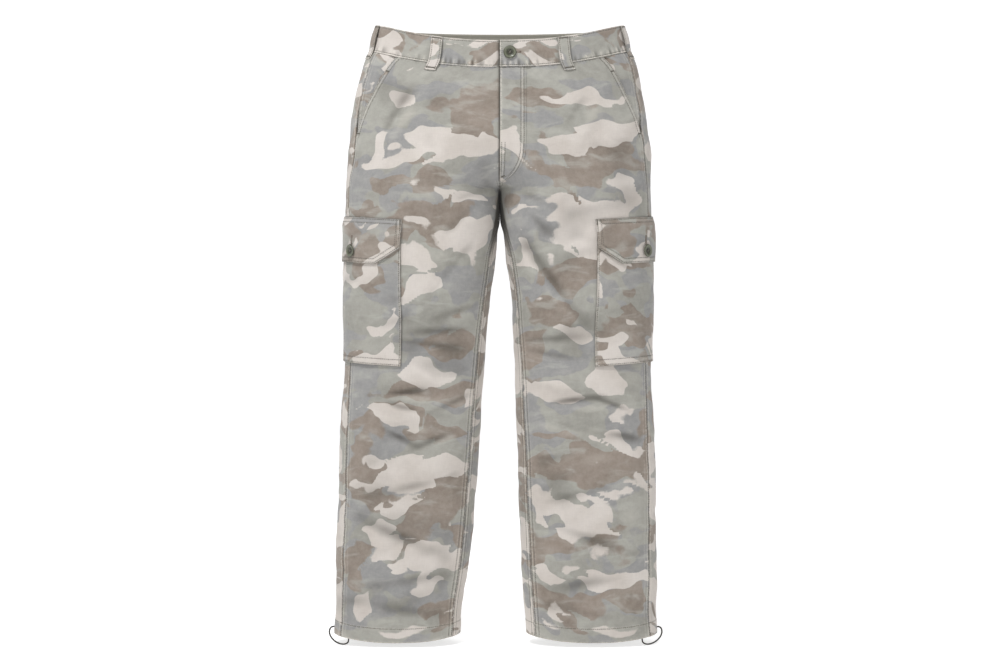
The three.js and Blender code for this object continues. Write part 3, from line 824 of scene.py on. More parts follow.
def gathered(masses, side, across, height):
    """1 in the middle of each mass and 0 away from them all."""
    field = np.zeros(np.shape(across))
    for on_side, middle, level, long, short, tilt in masses:
        u, v = turned(across - middle, height - level, long, short, tilt)
        field = np.maximum(field, (side == on_side) * np.exp(-0.9 * (u * u + v * v)))
    return field


def lobes(a, h, lean, seed):
    """Noise of four sizes with long rounded tongues, as a brushed camouflage has."""
    field = turned_noise(a, h, 66, 36, lean, seed)
    field += 0.6 * turned_noise(a, h, 32, 20, -1.4 * lean, seed + 1)
    field += 0.26 * turned_noise(a, h, 40, 10, lean, seed + 2)
    return field + 0.14 * turned_noise(a, h, 15, 9, 3 * lean, seed + 3)


def print_fields(side, across, height, shift):
    """Cream, taupe and blue-grey fields. shift is the piece's number of steps along the roll of cloth."""
    a = across + shift * STEP_ACROSS + 23 * side
    h = height + shift * STEP_DOWN
    pull_a = turned_noise(a, h, 42, 30, 20, PRINT_SEED)
    pull_a += 0.4 * turned_noise(a, h, 17, 13, -25, PRINT_SEED + 1)
    pull_h = turned_noise(a, h, 46, 30, -15, PRINT_SEED + 2)
    pull_h += 0.4 * turned_noise(a, h, 18, 13, 30, PRINT_SEED + 3)
    warp_a = PRINT_WARP * pull_a
    warp_h = 0.8 * PRINT_WARP * pull_h
    cream = lobes(a + warp_a, h + warp_h, 12, PRINT_SEED + 4)
    taupe = lobes(a + warp_a, h + warp_h, -10, PRINT_SEED + 8)
    blue = lobes(1.2 * (a + warp_a), 1.2 * (h + warp_h), 16, PRINT_SEED + 12)
    if shift == 0:
        near_a = across + 1.2 * warp_a
        near_h = height + 1.1 * warp_h
        cream = 0.5 * cream - 0.36 + 1.5 * gathered(CREAM_MASSES, side, near_a, near_h)
        taupe = 0.5 * taupe - 0.34 + 1.5 * gathered(TAUPE_MASSES, side, near_a, near_h)
    # Slanting strokes of the darker tones cut into the cream, and of the paler ones into the taupe
    strokes = turned_noise(a + warp_a, h + warp_h, 52, 12, 32, PRINT_SEED + 16)
    cream -= 2.2 * np.clip(strokes - 0.34, 0, 1)
    taupe -= 1.8 * np.clip(-strokes - 0.42, 0, 1)
    return np.stack([cream - CREAM_CUT, taupe - TAUPE_CUT, blue - BLUE_CUT], -1)


# Mesh helpers


def in_object_mode():
    if bpy.context.object and bpy.context.object.mode != "OBJECT":
        bpy.ops.object.mode_set(mode="OBJECT")
    bpy.ops.object.select_all(action="DESELECT")


def only(piece):
    in_object_mode()
    piece.select_set(True)
    bpy.context.view_layer.objects.active = piece


def finish_with(piece, kind, **settings):
    """Adds a modifier, sets it and applies it."""
    only(piece)
    modifier = piece.modifiers.new(kind.lower(), kind)
    for key, value in settings.items():
        setattr(modifier, key, value)
    bpy.ops.object.modifier_apply(modifier=modifier.name)


def smooth(piece, angle=40):
    only(piece)
    bpy.ops.object.shade_smooth_by_angle(angle=math.radians(angle))


def points_of(mesh):
    points = np.zeros(len(mesh.vertices) * 3)
    mesh.vertices.foreach_get("co", points)
    return points.reshape(-1, 3)


def move_points(mesh, points):
    mesh.vertices.foreach_set("co", points.ravel())
    mesh.update()


def mark(mesh, name, values):
    """Keeps one number from 0 to 1 at each point of a mesh, for its material to read."""
    attribute = mesh.attributes.new(name, "FLOAT", "POINT")
    attribute.data.foreach_set("value", np.clip(values, 0, 1).astype(float).ravel())


def cloth_piece(node, columns, rows, place, layer, marks, thickness, rim=0.45):
    """A shell of cloth for a node: a grid laid on a layer, thickened inwards, with a rounded rim.
    place turns shares of the grid's width and height into the layer's two measures, and marks turns those
    into how rubbed the cloth is, how dark its stitched lines and painted seam shadows are, and how much
    painted shade it takes."""
    shift = PRINT_SHIFTS.get(node, 0)
    in_object_mode()
    bpy.ops.mesh.primitive_grid_add(x_subdivisions=columns, y_subdivisions=rows, size=2)
    piece = bpy.context.object
    piece.name = node + "_cloth"
    mesh = piece.data
    mesh.name = piece.name
    flat = points_of(mesh)
    u, v = place((flat[:, 0] + 1) / 2, (1 - flat[:, 1]) / 2)
    side, across, height, lift = np.broadcast_arrays(*layer(u, v))
    move_points(mesh, lifted_point(side, across, height, lift) * MM)
    tone = mesh.attributes.new("print", "FLOAT_VECTOR", "POINT")
    tone.data.foreach_set("vector", print_fields(side, across, height, shift).ravel())
    # Fold ridges are painted pale as wear and as painted highlight; creases take painted shade with the dye
    # kept in them
    lie = np.zeros(side.shape)
    for one in (-1, 1):
        here = side == one
        lie[here] = small_folds(one, across[here].astype(float), height[here].astype(float))
    worn, dark, *painted_shade = marks(u, v)
    mark(mesh, "worn", worn)
    mark(mesh, "faded", RIDGE_WEAR_AND_HIGHLIGHT * np.clip((lie - 0.5) / 2.6, 0, 1))
    mark(mesh, "dark", dark)
    mark(mesh, "painted_shade", sum(painted_shade) + VALLEY_PAINTED_SHADE * np.clip((-lie - 0.5) / 2.4, 0, 1))
    corners = np.zeros(len(mesh.loops), int)
    mesh.loops.foreach_get("vertex_index", corners)
    on_cloth = np.stack([side * across + shift * STEP_ACROSS, height + shift * STEP_DOWN], -1) * MM
    mesh.uv_layers.active.data.foreach_set("uv", on_cloth[corners].ravel())
    face_outwards(piece)
    # Two slots: the printed face, and the reverse inside the garment
    mesh.materials.append(None)
    mesh.materials.append(None)
    shell = {"offset": -1, "use_even_offset": False, "material_offset": 1}
    finish_with(piece, "SOLIDIFY", thickness=thickness * MM, **shell)
    round_rim = {"segments": 2, "limit_method": "ANGLE", "angle_limit": math.radians(60)}
    finish_with(piece, "BEVEL", width=rim * MM, **round_rim)
    smooth(piece, 50)
    return piece


def face_outwards(piece):
    """Turns the sheet over if its faces look into the garment."""
    mesh = piece.data
    face = mesh.polygons[len(mesh.polygons) // 2]
    centre = np.array(face.center)
    middle_of_leg = np.array([math.copysign(LEG_MIDDLE * MM, centre[0]), 0, centre[2]])
    if np.dot(np.array(face.normal), centre - middle_of_leg) < 0:
        only(piece)
        bpy.ops.object.mode_set(mode="EDIT")
        bpy.ops.mesh.select_all(action="SELECT")
        bpy.ops.mesh.flip_normals()
        bpy.ops.object.mode_set(mode="OBJECT")


def spread(near, steps):
    """Stations between two edges, close together near both: near gives their distances from an edge, and
    steps how many follow between. Returns how many there are and a function of the share of them."""
    low = np.array([0, *near], float)
    count = len(near)
    total = 2 * count + steps

    def read(share, start, end):
        width = np.abs(end - start)
        k = np.clip(np.round(share * total).astype(int), 0, total)
        from_start = low[np.minimum(k, count)]
        from_end = low[np.minimum(total - k, count)]
        middle = low[-1] + (width - 2 * low[-1]) * (k - count) / steps
        at = np.where(k <= count, from_start, np.where(k >= count + steps, width - from_end, middle))
        return start + np.sign(end - start) * at

    return total, read


NEAR_SEAM = [0.7, 1.4, 2.1, 2.8, 3.8, 5, 6.2, 7.2, 8, 8.8, 9.8, 11, 13, 16]
NEAR_HEM = [0.8, 1.6, 2.4, 3.4, 4.6, 6, 8, 10, 12, 14, 16, 18, 19.5, 20.7, 21.7, 22.5, 23.3, 24.3, 26, 29]
NEAR_EDGE = [0.7, 1.4, 2.1, 2.8, 3.6, 4.6, 6, 7.4, 8.4, 9.4, 10.4, 11.4, 12.6, 15]
NEAR_BAND_EDGE = [0.7, 1.4, 2.1, 2.8, 3.5, 4.4, 6, 8, 10.5]
PANEL_ACROSS = spread(NEAR_SEAM, 56)
PANEL_DOWN = spread(NEAR_HEM, 266)
POCKET_ACROSS = spread(NEAR_EDGE, 46)
POCKET_DOWN = spread(NEAR_EDGE, 60)
FLAP_DOWN = spread(NEAR_EDGE, 18)
BAND_DOWN = spread(NEAR_BAND_EDGE, 8)
# How far from the middle plane the middle of each leg lies
LEG_MIDDLE = 140
# Ridges of the small folds: pale as wear and painted highlight. Valleys: painted shade, with dye kept in
# them
RIDGE_WEAR_AND_HIGHLIGHT = 0.36
VALLEY_PAINTED_SHADE = 0.6


def stitch_rows(distance, *rows):
    """The dark painted along rows of stitches: the thread's own dark, and painted shade in the furrows they
    press.
    """
    return 0.48 * furrows(distance, rows, 0.85)


def lapped_edge(distance, *rows):
    """A folded edge that lies on other cloth: rubbed pale, with dark rows of stitches inside it."""
    pale = 0.95 * np.exp(-distance / 1.5) + 0.3 * groove(distance, (rows[0] + rows[-1]) / 2, 1.8)
    return pale, stitch_rows(distance, *rows)


def joined_edge(distance, *rows):
    """A seam between two panels: a crack painted dark as shade, a rubbed ridge beside it and dark rows of
    stitches.
    """
    pale = 0.6 * groove(distance, 3.9, 1.2) + 0.2 * groove(distance, 9.8, 1.2)
    return pale, 0.62 * groove(distance, 0, 1) + stitch_rows(distance, *rows)


def edge_shadow(distance):
    """Painted shadow: the dark line where a pocket, flap or loop ends on the cloth under it."""
    return 0.75 * groove(distance, 0, 0.9)


def band_shadow(height):
    """Painted shadow: the dark line on the cloth just below where the waistband lies on it."""
    return 0.8 * np.exp(-(WAIST_SEAM - height) / 1.6)


# Materials. Their tones are sRGB hex values, picked for each dye, for wear and for painted shade and
# highlight.


def to_linear(code):
    values = [int(code[i : i + 2], 16) / 255 for i in (1, 3, 5)]
    linear = [c / 12.92 if c <= 0.04045 else ((c + 0.055) / 1.055) ** 2.4 for c in values]
    return (*linear, 1.0)


def fill(tree, node, inputs):
    """Sets a node's inputs, by number or name, to values or joins them to other nodes' outputs."""
    for key, value in inputs.items():
        if isinstance(value, bpy.types.NodeSocket):
            tree.links.new(value, node.inputs[key])
        else:
            node.inputs[key].default_value = value


def add_node(tree, kind, inputs=None, settings=None, output=0):
    """Adds a node, sets its properties, fills its inputs and gives one of its outputs."""
    node = tree.nodes.new("ShaderNode" + kind)
    for key, value in (settings or {}).items():
        setattr(node, key, value)
    fill(tree, node, inputs or {})
    return node.outputs[output]


def new_material(name):
    material = bpy.data.materials.new(name)
    material.use_nodes = True
    tree = material.node_tree
    shader = next(n for n in tree.nodes if n.type == "BSDF_PRINCIPLED")
    return material, tree, shader


CREAM = to_linear("#d4cdc7")
CREAM_SHADE = to_linear("#c6beb7")
SAGE = to_linear("#a2a19a")
SAGE_SHADE = to_linear("#94938c")
BLUE_GREY = to_linear("#929292")
TAUPE = to_linear("#92867c")
TAUPE_SHADE = to_linear("#82776d")
VEIL = to_linear("#b6b5ae")
# The pale of rubbed edges, and of fold ridges, where it is partly wear and partly painted highlight
WORN_AND_HIGHLIGHT = to_linear("#d9d3c9")
# The tone of painted shade: in fold valleys, in the gap between the thighs, beside lapped edges and in
# stitched furrows
PAINTED_SHADE_TONE = to_linear("#423e37")
# What the furrows between yarns and the mottling turn the printed face to
YARN_SHADE = to_linear("#7d7970")
MOTTLE_PALE = to_linear("#e2ddd4")
REVERSE = to_linear("#a9a59a")
REVERSE_SHADE = to_linear("#a5a297")
REVERSE_YARN = to_linear("#5f5b52")

# Twill lines lie about 0.6 mm apart on this cloth, drawn at 1.2 mm so that they show. A wave of this scale
# has its bands 1 / 6.6 apart.
TWILL_SPACING = 1.2
TWILL_SCALE = 1000 / TWILL_SPACING / 6.6
# Yarns in a metre, and how many of their slubs there are along it
YARN_SCALE = 900
SLUB_SCALE = 60
# How softly each dye ends: the cream over about 1.5 mm, the taupe over 2.5 mm and the blue-grey over 3.5 mm
PRINT_BLEED = (0.04, 0.06, 0.08)
# How far the yarns carry each dye past its drawn edge
RAGGEDNESS = 0.14

# Settings that many nodes share. A Mix node's colours are inputs 6 and 7, and its colour is output 2.
TONES = {"data_type": "RGBA"}
SOFT_STEP = {"interpolation_type": "SMOOTHSTEP"}
TIMES = {"operation": "MULTIPLY"}
TIMES_PLUS = {"operation": "MULTIPLY_ADD"}
DIAGONAL = {"wave_type": "BANDS", "bands_direction": "DIAGONAL"}


def patches(tree, place, scale, low, high, detail=2, roughness=0.5, distortion=0, least=0, most=1):
    """Noise cut off softly between two heights: the patches that dye and wear lie in."""
    look = {"Scale": scale, "Detail": detail, "Roughness": roughness, "Distortion": distortion}
    noise = add_node(tree, "TexNoise", {"Vector": place, **look})
    return add_node(tree, "MapRange", {0: noise, 1: low, 2: high, 3: least, 4: most}, SOFT_STEP)


def yarns(tree, cloth, scale):
    """The thick and thin places of the yarns that run one way."""
    along = add_node(tree, "Mapping", {"Vector": cloth, "Scale": scale})
    return add_node(tree, "TexNoise", {"Vector": along, "Scale": 1, "Detail": 2, "Roughness": 0.6})


def washed_twill(name):
    """Cotton twill, garment washed: matt, slightly furry, its print faded and its edges rubbed pale."""
    material, tree, shader = new_material(name)
    cloth = add_node(tree, "UVMap")
    fields = add_node(tree, "Attribute", {}, {"attribute_name": "print"}, 1)
    parts = add_node(tree, "SeparateXYZ", {0: fields}).node.outputs
    # The second of these marks pales fold ridges as wear and as painted highlight; the third is stitch dark
    # with painted seam shadows, and the fourth is painted shade
    worn, faded, dark, painted_shade = (
        add_node(tree, "Attribute", {}, {"attribute_name": each}, 2)
        for each in ("worn", "faded", "dark", "painted_shade")
    )
    ragged = add_node(tree, "TexNoise", {"Vector": cloth, "Scale": 120, "Detail": 3, "Roughness": 0.55})
    masks = []
    for part, bleed in zip(parts, PRINT_BLEED):
        edge = add_node(tree, "Math", {0: ragged, 1: RAGGEDNESS, 2: part}, TIMES_PLUS)
        ends = {0: edge, 1: RAGGEDNESS / 2 - bleed, 2: RAGGEDNESS / 2 + bleed}
        masks.append(add_node(tree, "MapRange", ends, SOFT_STEP))
    # Each dye took unevenly, in soft clouds and finer mottling, with brushed veils over the darker ones
    clouds = patches(tree, cloth, 14, 0.35, 0.7, 3)
    cream, taupe, sage = (
        add_node(tree, "Mix", {0: clouds, 6: tone, 7: shade}, TONES, 2)
        for tone, shade in ((CREAM, CREAM_SHADE), (TAUPE, TAUPE_SHADE), (SAGE, SAGE_SHADE))
    )
    mottle = patches(tree, cloth, 90, 0.3, 0.7, 4, 0.7, most=0.1)
    strokes = {"Vector": cloth, "Rotation": (0, 0, math.radians(8)), "Scale": (16, 44, 1)}
    veils = patches(tree, add_node(tree, "Mapping", strokes), 1, 0.5, 0.72, 3, 0.55, 0.6, most=0.5)
    # Threads: the twill's lines and the slubs of single yarns show as a faint grain
    lines = {"Vector": cloth, "Scale": TWILL_SCALE, "Distortion": 0.6, "Detail": 1}
    twill = add_node(tree, "TexWave", lines, DIAGONAL, 1)
    warp = yarns(tree, cloth, (YARN_SCALE, SLUB_SCALE, 1))
    weft = yarns(tree, cloth, (SLUB_SCALE, YARN_SCALE, 1))
    both = add_node(tree, "Math", {0: warp, 1: weft}, {"operation": "ADD"})
    grain = add_node(tree, "MapRange", {0: both, 1: 0.6, 2: 1.4}, SOFT_STEP)
    between_yarns = add_node(tree, "Math", {0: grain, 1: 0.14}, TIMES)
    # Doubled edges are rubbed in broken pale patches, and the dark of stitches and painted seam shade
    # breaks into dashes
    rubbing = patches(tree, cloth, 260, 0.3, 0.62, 3, 0.65)
    rubbed = add_node(tree, "Math", {0: worn, 1: rubbing}, TIMES)
    dashes = patches(tree, cloth, 270, 0.4, 0.58, 2, 0.6, least=0.16)
    sunk = add_node(tree, "Math", {0: dark, 1: dashes}, TIMES)
    colour = sage
    for amount, tone in (
        (masks[2], BLUE_GREY),
        (masks[1], taupe),
        (veils, VEIL),
        (masks[0], cream),
        (between_yarns, YARN_SHADE),
        (mottle, MOTTLE_PALE),
        (faded, WORN_AND_HIGHLIGHT),
        (rubbed, WORN_AND_HIGHLIGHT),
        (painted_shade, PAINTED_SHADE_TONE),
        (sunk, PAINTED_SHADE_TONE),
    ):
        colour = add_node(tree, "Mix", {0: amount, 6: colour, 7: tone}, TONES, 2)
    height = add_node(tree, "Math", {0: twill, 1: 1.2, 2: grain}, TIMES_PLUS)
    bump = add_node(tree, "Bump", {"Strength": 0.32, "Distance": 0.00015, "Height": height})
    matt = {"Roughness": 0.92, "Sheen Weight": 0.18, "Sheen Roughness": 0.5, "Specular IOR Level": 0.25}
    fill(tree, shader, {"Base Color": colour, "Normal": bump, **matt})
    return material


def twill_reverse():
    """The unprinted back of the twill: the dye shows through as a faint tint."""
    material, tree, shader = new_material("cotton_twill_reverse")
    cloth = add_node(tree, "UVMap")
    clouds = patches(tree, cloth, 20, 0.3, 0.7, 3)
    warp = yarns(tree, cloth, (YARN_SCALE, SLUB_SCALE, 1))
    lines = add_node(tree, "MapRange", {0: warp, 1: 0.3, 2: 0.7, 4: 0.15}, SOFT_STEP)
    colour = add_node(tree, "Mix", {0: clouds, 6: REVERSE, 7: REVERSE_SHADE}, TONES, 2)
    colour = add_node(tree, "Mix", {0: lines, 6: colour, 7: REVERSE_YARN}, TONES, 2)
    bump = add_node(tree, "Bump", {"Strength": 0.3, "Distance": 0.0003, "Height": warp})
    fill(tree, shader, {"Base Color": colour, "Normal": bump, "Roughness": 0.95})
    return material


def sewing_thread(name, code, faded):
    """Core-spun polyester-cotton thread: matt, with the light catching each ply."""
    material, tree, shader = new_material(name)
    speckle = patches(tree, add_node(tree, "TexCoord", output="Object"), 700, 0.4, 0.8)
    colour = add_node(tree, "Mix", {0: speckle, 6: to_linear(code), 7: to_linear(faded)}, TONES, 2)
    fill(tree, shader, {"Base Color": colour, "Roughness": 0.7, "Sheen Weight": 0.2})
    return material


def moulded_resin():
    """Polyester resin buttons, moulded and tumbled: olive, with a soft satin shine."""
    material, tree, shader = new_material("polyester_resin_olive")
    place = add_node(tree, "TexCoord", output="Object")
    marbling = patches(tree, place, 220, 0.35, 0.7, 4, 0.6, 1.5)
    scuffs = patches(tree, place, 900, 0.45, 0.75, 3, 0.7)
    scuffed = add_node(tree, "Math", {0: scuffs, 1: 0.2}, TIMES)
    # The turned ring inside the rim is coloured paler, and the sunk middle darker
    ring = add_node(tree, "Attribute", {}, {"attribute_name": "ring"}, 2)
    inside = add_node(tree, "MapRange", {0: ring, 1: 0.6, 2: 0.7, 4: 0.7}, SOFT_STEP)
    outside = add_node(tree, "MapRange", {0: ring, 1: 0.82, 2: 0.92, 4: 0.7}, SOFT_STEP)
    paler_ring = add_node(tree, "Math", {0: inside, 1: outside}, {"operation": "SUBTRACT"})
    darker_middle = add_node(tree, "MapRange", {0: ring, 1: 0.36, 2: 0.6, 3: 0.8, 4: 0}, SOFT_STEP)
    colour = to_linear("#464839")
    tones = (marbling, "#585b49"), (paler_ring, "#717462"), (darker_middle, "#2c2d23"), (scuffed, "#a6a896")
    for amount, code in tones:
        colour = add_node(tree, "Mix", {0: amount, 6: colour, 7: to_linear(code)}, TONES, 2)
    rough = add_node(tree, "MapRange", {0: scuffs, 3: 0.36, 4: 0.6})
    bump = add_node(tree, "Bump", {"Strength": 0.2, "Distance": 0.0001, "Height": scuffs})
    satin = {"Roughness": rough, "Normal": bump, "IOR": 1.54, "Coat Weight": 0.15}
    fill(tree, shader, {"Base Color": colour, **satin})
    return material


def elastic_cord():
    """Braided elastic cord: dark, matt, with a fine diagonal plait."""
    material, tree, shader = new_material("braided_elastic_cord")
    place = add_node(tree, "TexCoord", output="Object")
    plait = add_node(tree, "TexWave", {"Vector": place, "Scale": 260, "Distortion": 1}, DIAGONAL, 1)
    colour = add_node(tree, "Mix", {0: plait, 6: to_linear("#2a2825"), 7: to_linear("#4a4742")}, TONES, 2)
    bump = add_node(tree, "Bump", {"Strength": 0.5, "Distance": 0.0002, "Height": plait})
    fill(tree, shader, {"Base Color": colour, "Normal": bump, "Roughness": 0.8})
    return material


# Cords first: across, height and lift of each loop, as in the part
CORD_DIAMETER = 2.6
CORD_ROUTE = [
    [-36, -987, 0.3],
    [-36, -987, 3.5],
    [-34, -988.5, 7],
    [-28, -993, 9],
    [-21, -999, 8.5],
    [-12, -1005, 5.5],
    [-2, -1008, 2],
    [8, -1007, -0.4],
    [15, -1002.5, -0.8],
    [16.5, -996.3, -0.8],
]
CORD_POINTS = 4


def pace(p, gaps, i):
    """How fast the curve passes the point p[i], from the points before and after it."""
    before = (p[i] - p[i - 1]) / gaps[i - 1]
    after = (p[i + 1] - p[i]) / gaps[i]
    return (before - (p[i + 1] - p[i - 1]) / (gaps[i - 1] + gaps[i]) + after) * gaps[1]


def catmull_rom(points, steps):
    """Points along a smooth curve through the given ones, centripetal as the part's own."""
    points = np.asarray(points, float)
    ends = [2 * points[0] - points[1], *points, 2 * points[-1] - points[-2]]
    result = []
    for k in range(1, len(ends) - 2):
        p = [np.array(ends[k + d]) for d in (-1, 0, 1, 2)]
        gaps = [max(np.linalg.norm(p[i + 1] - p[i]) ** 0.5, 1e-4) for i in range(3)]
        for i in range(steps):
            t = i / steps
            cubic = (2 * t**3 - 3 * t**2 + 1) * p[1] + (t**3 - 2 * t**2 + t) * pace(p, gaps, 1)
            result.append(cubic + (3 * t**2 - 2 * t**3) * p[2] + (t**3 - t**2) * pace(p, gaps, 2))
    result.append(np.array(ends[-2]))
    return np.array(result)


def hem_cord(name, side, material):
    route = lifted_point(side, *np.array(CORD_ROUTE).T)
    points = catmull_rom(route, CORD_POINTS) * MM
    curve = bpy.data.curves.new(name + "_drawn", "CURVE")
    curve.dimensions = "3D"
    spline = curve.splines.new("POLY")
    spline.points.add(len(points) - 1)
    for place, point in zip(spline.points, points):
        place.co = (*point, 1)
    curve.bevel_depth = CORD_DIAMETER / 2 * MM
    curve.bevel_resolution = 3
    curve.use_fill_caps = True
    cord = bpy.data.objects.new(name + "_drawn", curve)
    bpy.context.scene.collection.objects.link(cord)
    curve.materials.append(material)
    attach(cord, "root")
    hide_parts(name)


def declare(piece, node, material):
    """Gives a piece its materials, hangs it from the root and hides the part's node that it stands for."""
    slots = piece.data.materials
    for k, each in enumerate(material if isinstance(material, list) else [material]):
        if k < len(slots):
            slots[k] = each
        else:
            slots.append(each)
    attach(piece, "root")
    if node:
        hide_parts(node)


# Pieces


def thigh_shadow(inner, height, width):
    """Painted shadow between the thighs, just below the crotch, where the legs' cloth turns into the dark
    gap.
    """
    narrowed = width * mix(1, 0.3, ease((-275 - height) / 80))
    return ease((narrowed - inner) / 5) * ease((CROTCH - height) / 7) * ease((height + 390) / 90)


def front_panel(name, side, material):
    columns, across_stations = PANEL_ACROSS
    rows, down_stations = PANEL_DOWN

    def place(i, j):
        height = down_stations(j, WAIST_SEAM - EDGE_INSET, HEM)
        inner = reach(side, height, 1) - EDGE_INSET
        return across_stations(i, inner, slant_across(height) + EDGE_INSET), height

    def marks(across, height):
        inner = reach(side, height, 1) - across
        outer = np.abs(across - slant_across(height))
        mouth_pale, mouth_dark = lapped_edge(outer, *FELL_ROWS)
        side_pale, side_dark = joined_edge(outer, SIDE_ROW)
        inner_pale, inner_dark = joined_edge(inner, *FELL_ROWS)
        hem_pale, hem_dark = lapped_edge(height - HEM, HEM_ROW)
        mouth = height > SLANT_BOTTOM
        joined = height < FLY_BOTTOM
        # Beside the lapped fly the cloth lies in its shadow
        under_lap = 0.9 * groove(inner, 0, 2.6) * (height > FLY_BOTTOM) * (side < 0)
        pale = np.where(mouth, mouth_pale, side_pale) + inner_pale * joined + hem_pale
        dark = np.where(mouth, mouth_dark, side_dark) + inner_dark * joined + hem_dark
        # The line below the band is painted shadow, and the third mark is painted shade: the fly's shadow
        # and the dark between the thighs
        return pale, dark + band_shadow(height), under_lap + thigh_shadow(inner, height, 25)

    piece = cloth_piece(name, columns, rows, place, panel_layer(side, 1), marks, CLOTH_THICKNESS)
    declare(piece, name, material)


def back_panel(name, side, material):
    columns, across_stations = PANEL_ACROSS
    rows, down_stations = PANEL_DOWN

    def place(i, j):
        height = down_stations(j, WAIST_SEAM - EDGE_INSET, HEM)
        inner = -reach(side, height, -1) + EDGE_INSET
        return across_stations(i, inner, -EDGE_INSET), height

    def marks(across, height):
        inner = reach(side, height, -1) + across
        side_pale, side_dark = joined_edge(-across)
        inner_pale, inner_dark = joined_edge(inner, *FELL_ROWS)
        hem_pale, hem_dark = lapped_edge(height - HEM, HEM_ROW)
        # The line below the band is painted shadow, and the third mark is painted shade between the thighs
        dark = side_dark + inner_dark + hem_dark + band_shadow(height)
        return side_pale + inner_pale + hem_pale, dark, thigh_shadow(inner, height, 36)

    piece = cloth_piece(name, columns, rows, place, panel_layer(side, -1), marks, CLOTH_THICKNESS)
    declare(piece, name, material)


FACING_ROW = 3
FACING_UNDERLAP = 13
FACING_THICKNESS = 1.2
FACING_CLEARANCE = 1.4


def pocket_facing(name, side, material):
    lift = -CLOTH_THICKNESS - FACING_CLEARANCE

    def layer(across, height):
        # It comes up to the side seam, and lies under the front panel past the mouth
        rise = (FACING_CLEARANCE + CLOTH_THICKNESS - 0.2) * ease((slant_across(height) - 4 - across) / 15)
        return side, across, height, lift + rise + 0.3 * soft_noise(across / 18, height / 22 + side, 81)

    def place(i, j):
        height = mix(WAIST_SEAM - EDGE_INSET, SLANT_BOTTOM - FACING_UNDERLAP, j)
        return mix(EDGE_INSET, slant_across(height) + FACING_UNDERLAP, i), height

    def marks(across, height):
        pale, dark = joined_edge(across, FACING_ROW)
        # Along the slanted mouth the facing takes a painted shadow line from the front panel's edge over it
        return pale, dark + 0.75 * np.exp(-np.abs(slant_across(height) - across) / 1.8)

    piece = cloth_piece(name, 44, 70, place, layer, marks, FACING_THICKNESS)
    declare(piece, name, material)


def fly_piece(material):
    def place(i, j):
        down = (j + np.sin(j * math.pi / 2)) / 2
        height = mix(WAIST_SEAM - EDGE_INSET, FLY_BOTTOM, down)
        return fly_width(height) * i, height

    def marks(from_edge, height):
        # The fly is held by its J of two rows, and its lower end is caught in the centre seam's
        inward = fly_width(height) - from_edge
        caught = ease((FLY_CAUGHT - height) / 6)
        pale = 0.4 * groove(inward, 5.8, 1.4) + 1.1 * np.exp(-from_edge / 1.6)
        pale += 0.3 * caught * groove(from_edge, 5, 1.4)
        dark = stitch_rows(inward, *FLY_ROWS) + caught * stitch_rows(from_edge, *CENTRE_ROWS)
        # Below the band the cloth takes a painted shadow line
        return pale, dark + band_shadow(height)

    piece = cloth_piece("fly", 50, 110, place, fly_layer, marks, FLY_CLOTH)
    declare(piece, "fly", material)


def waistband_piece(material):
    rows, down_stations = BAND_DOWN
    low = -BAND_UNDERLAP / float(reach(1, WAIST_SEAM, 1))

    def place(i, j):
        return mix(low, 4, i), down_stations(j, WAIST_TOP, WAIST_SEAM + EDGE_INSET)

    def marks(round_, height):
        up = height - WAIST_SEAM
        down = WAIST_TOP - height
        lap = np.abs(4 - round_) * BAND_QUARTER
        under_lap = np.abs(round_) * BAND_QUARTER
        pucker = band_pucker(round_, up)
        pale = 0.9 * groove(up, 1.3, 0.8) + 0.9 * np.exp(-down / 1.5) + 1.1 * np.exp(-lap / 1.6)
        pale += 0.9 * np.clip(pucker, 0, 1) * groove(up, 6, 5)
        # Painted shade: a shadow line beside the band's lapped end, and the troughs of the gathers
        painted_shade = 0.95 * groove(under_lap, 0, 4.5) + 0.8 * np.clip(-pucker, 0, 1) * groove(up, 6, 6)
        return pale, stitch_rows(up, BAND_LOW_ROW) + stitch_rows(down, BAND_TOP_ROW), painted_shade

    piece = cloth_piece("waistband", 520, rows, place, band_layer, marks, BAND_THICKNESS - UNDER_EASE, 0.8)
    declare(piece, "waistband", material)


def loop_piece(name, layer, material):
    def place(i, j):
        return mix(-LOOP_WIDTH / 2, LOOP_WIDTH / 2, i), mix(LOOP_TOP, LOOP_FOOT, j)

    def marks(beside, height):
        edge = LOOP_WIDTH / 2 - np.abs(beside)
        ends = np.minimum(LOOP_TOP - height, height - LOOP_FOOT)
        pale, dark = lapped_edge(edge, LOOP_ROW)
        # The third mark is a painted shadow line along the loop's sides
        return 0.6 * pale + 0.7 * np.exp(-ends / 1.5), dark + 0.5 * groove(ends, 4, 1.6), edge_shadow(edge)

    piece = cloth_piece(name, 24, 48, place, layer, marks, LOOP_THICKNESS - UNDER_EASE, 0.7)
    declare(piece, name, material)


def cargo_pocket(name, side, material):
    columns, across_stations = POCKET_ACROSS
    rows, down_stations = POCKET_DOWN

    def place(i, j):
        along = across_stations(i, -POCKET_HALF_WIDTH, POCKET_HALF_WIDTH)
        return along, down_stations(j, POCKET_TOP, POCKET_BOTTOM)

    def marks(along, level):
        edge = POCKET_HALF_WIDTH - np.abs(along)
        foot = level - POCKET_BOTTOM
        side_pale, side_dark = lapped_edge(edge, POCKET_ROW)
        foot_pale, foot_dark = lapped_edge(foot, *POCKET_FOOT_ROWS)
        # The third mark is a painted shadow line round the pocket's edge
        return side_pale + foot_pale, side_dark + foot_dark, edge_shadow(np.minimum(edge, foot))

    piece = cloth_piece(name, columns, rows, place, pocket_layer(side), marks, CLOTH_THICKNESS)
    declare(piece, name, material)


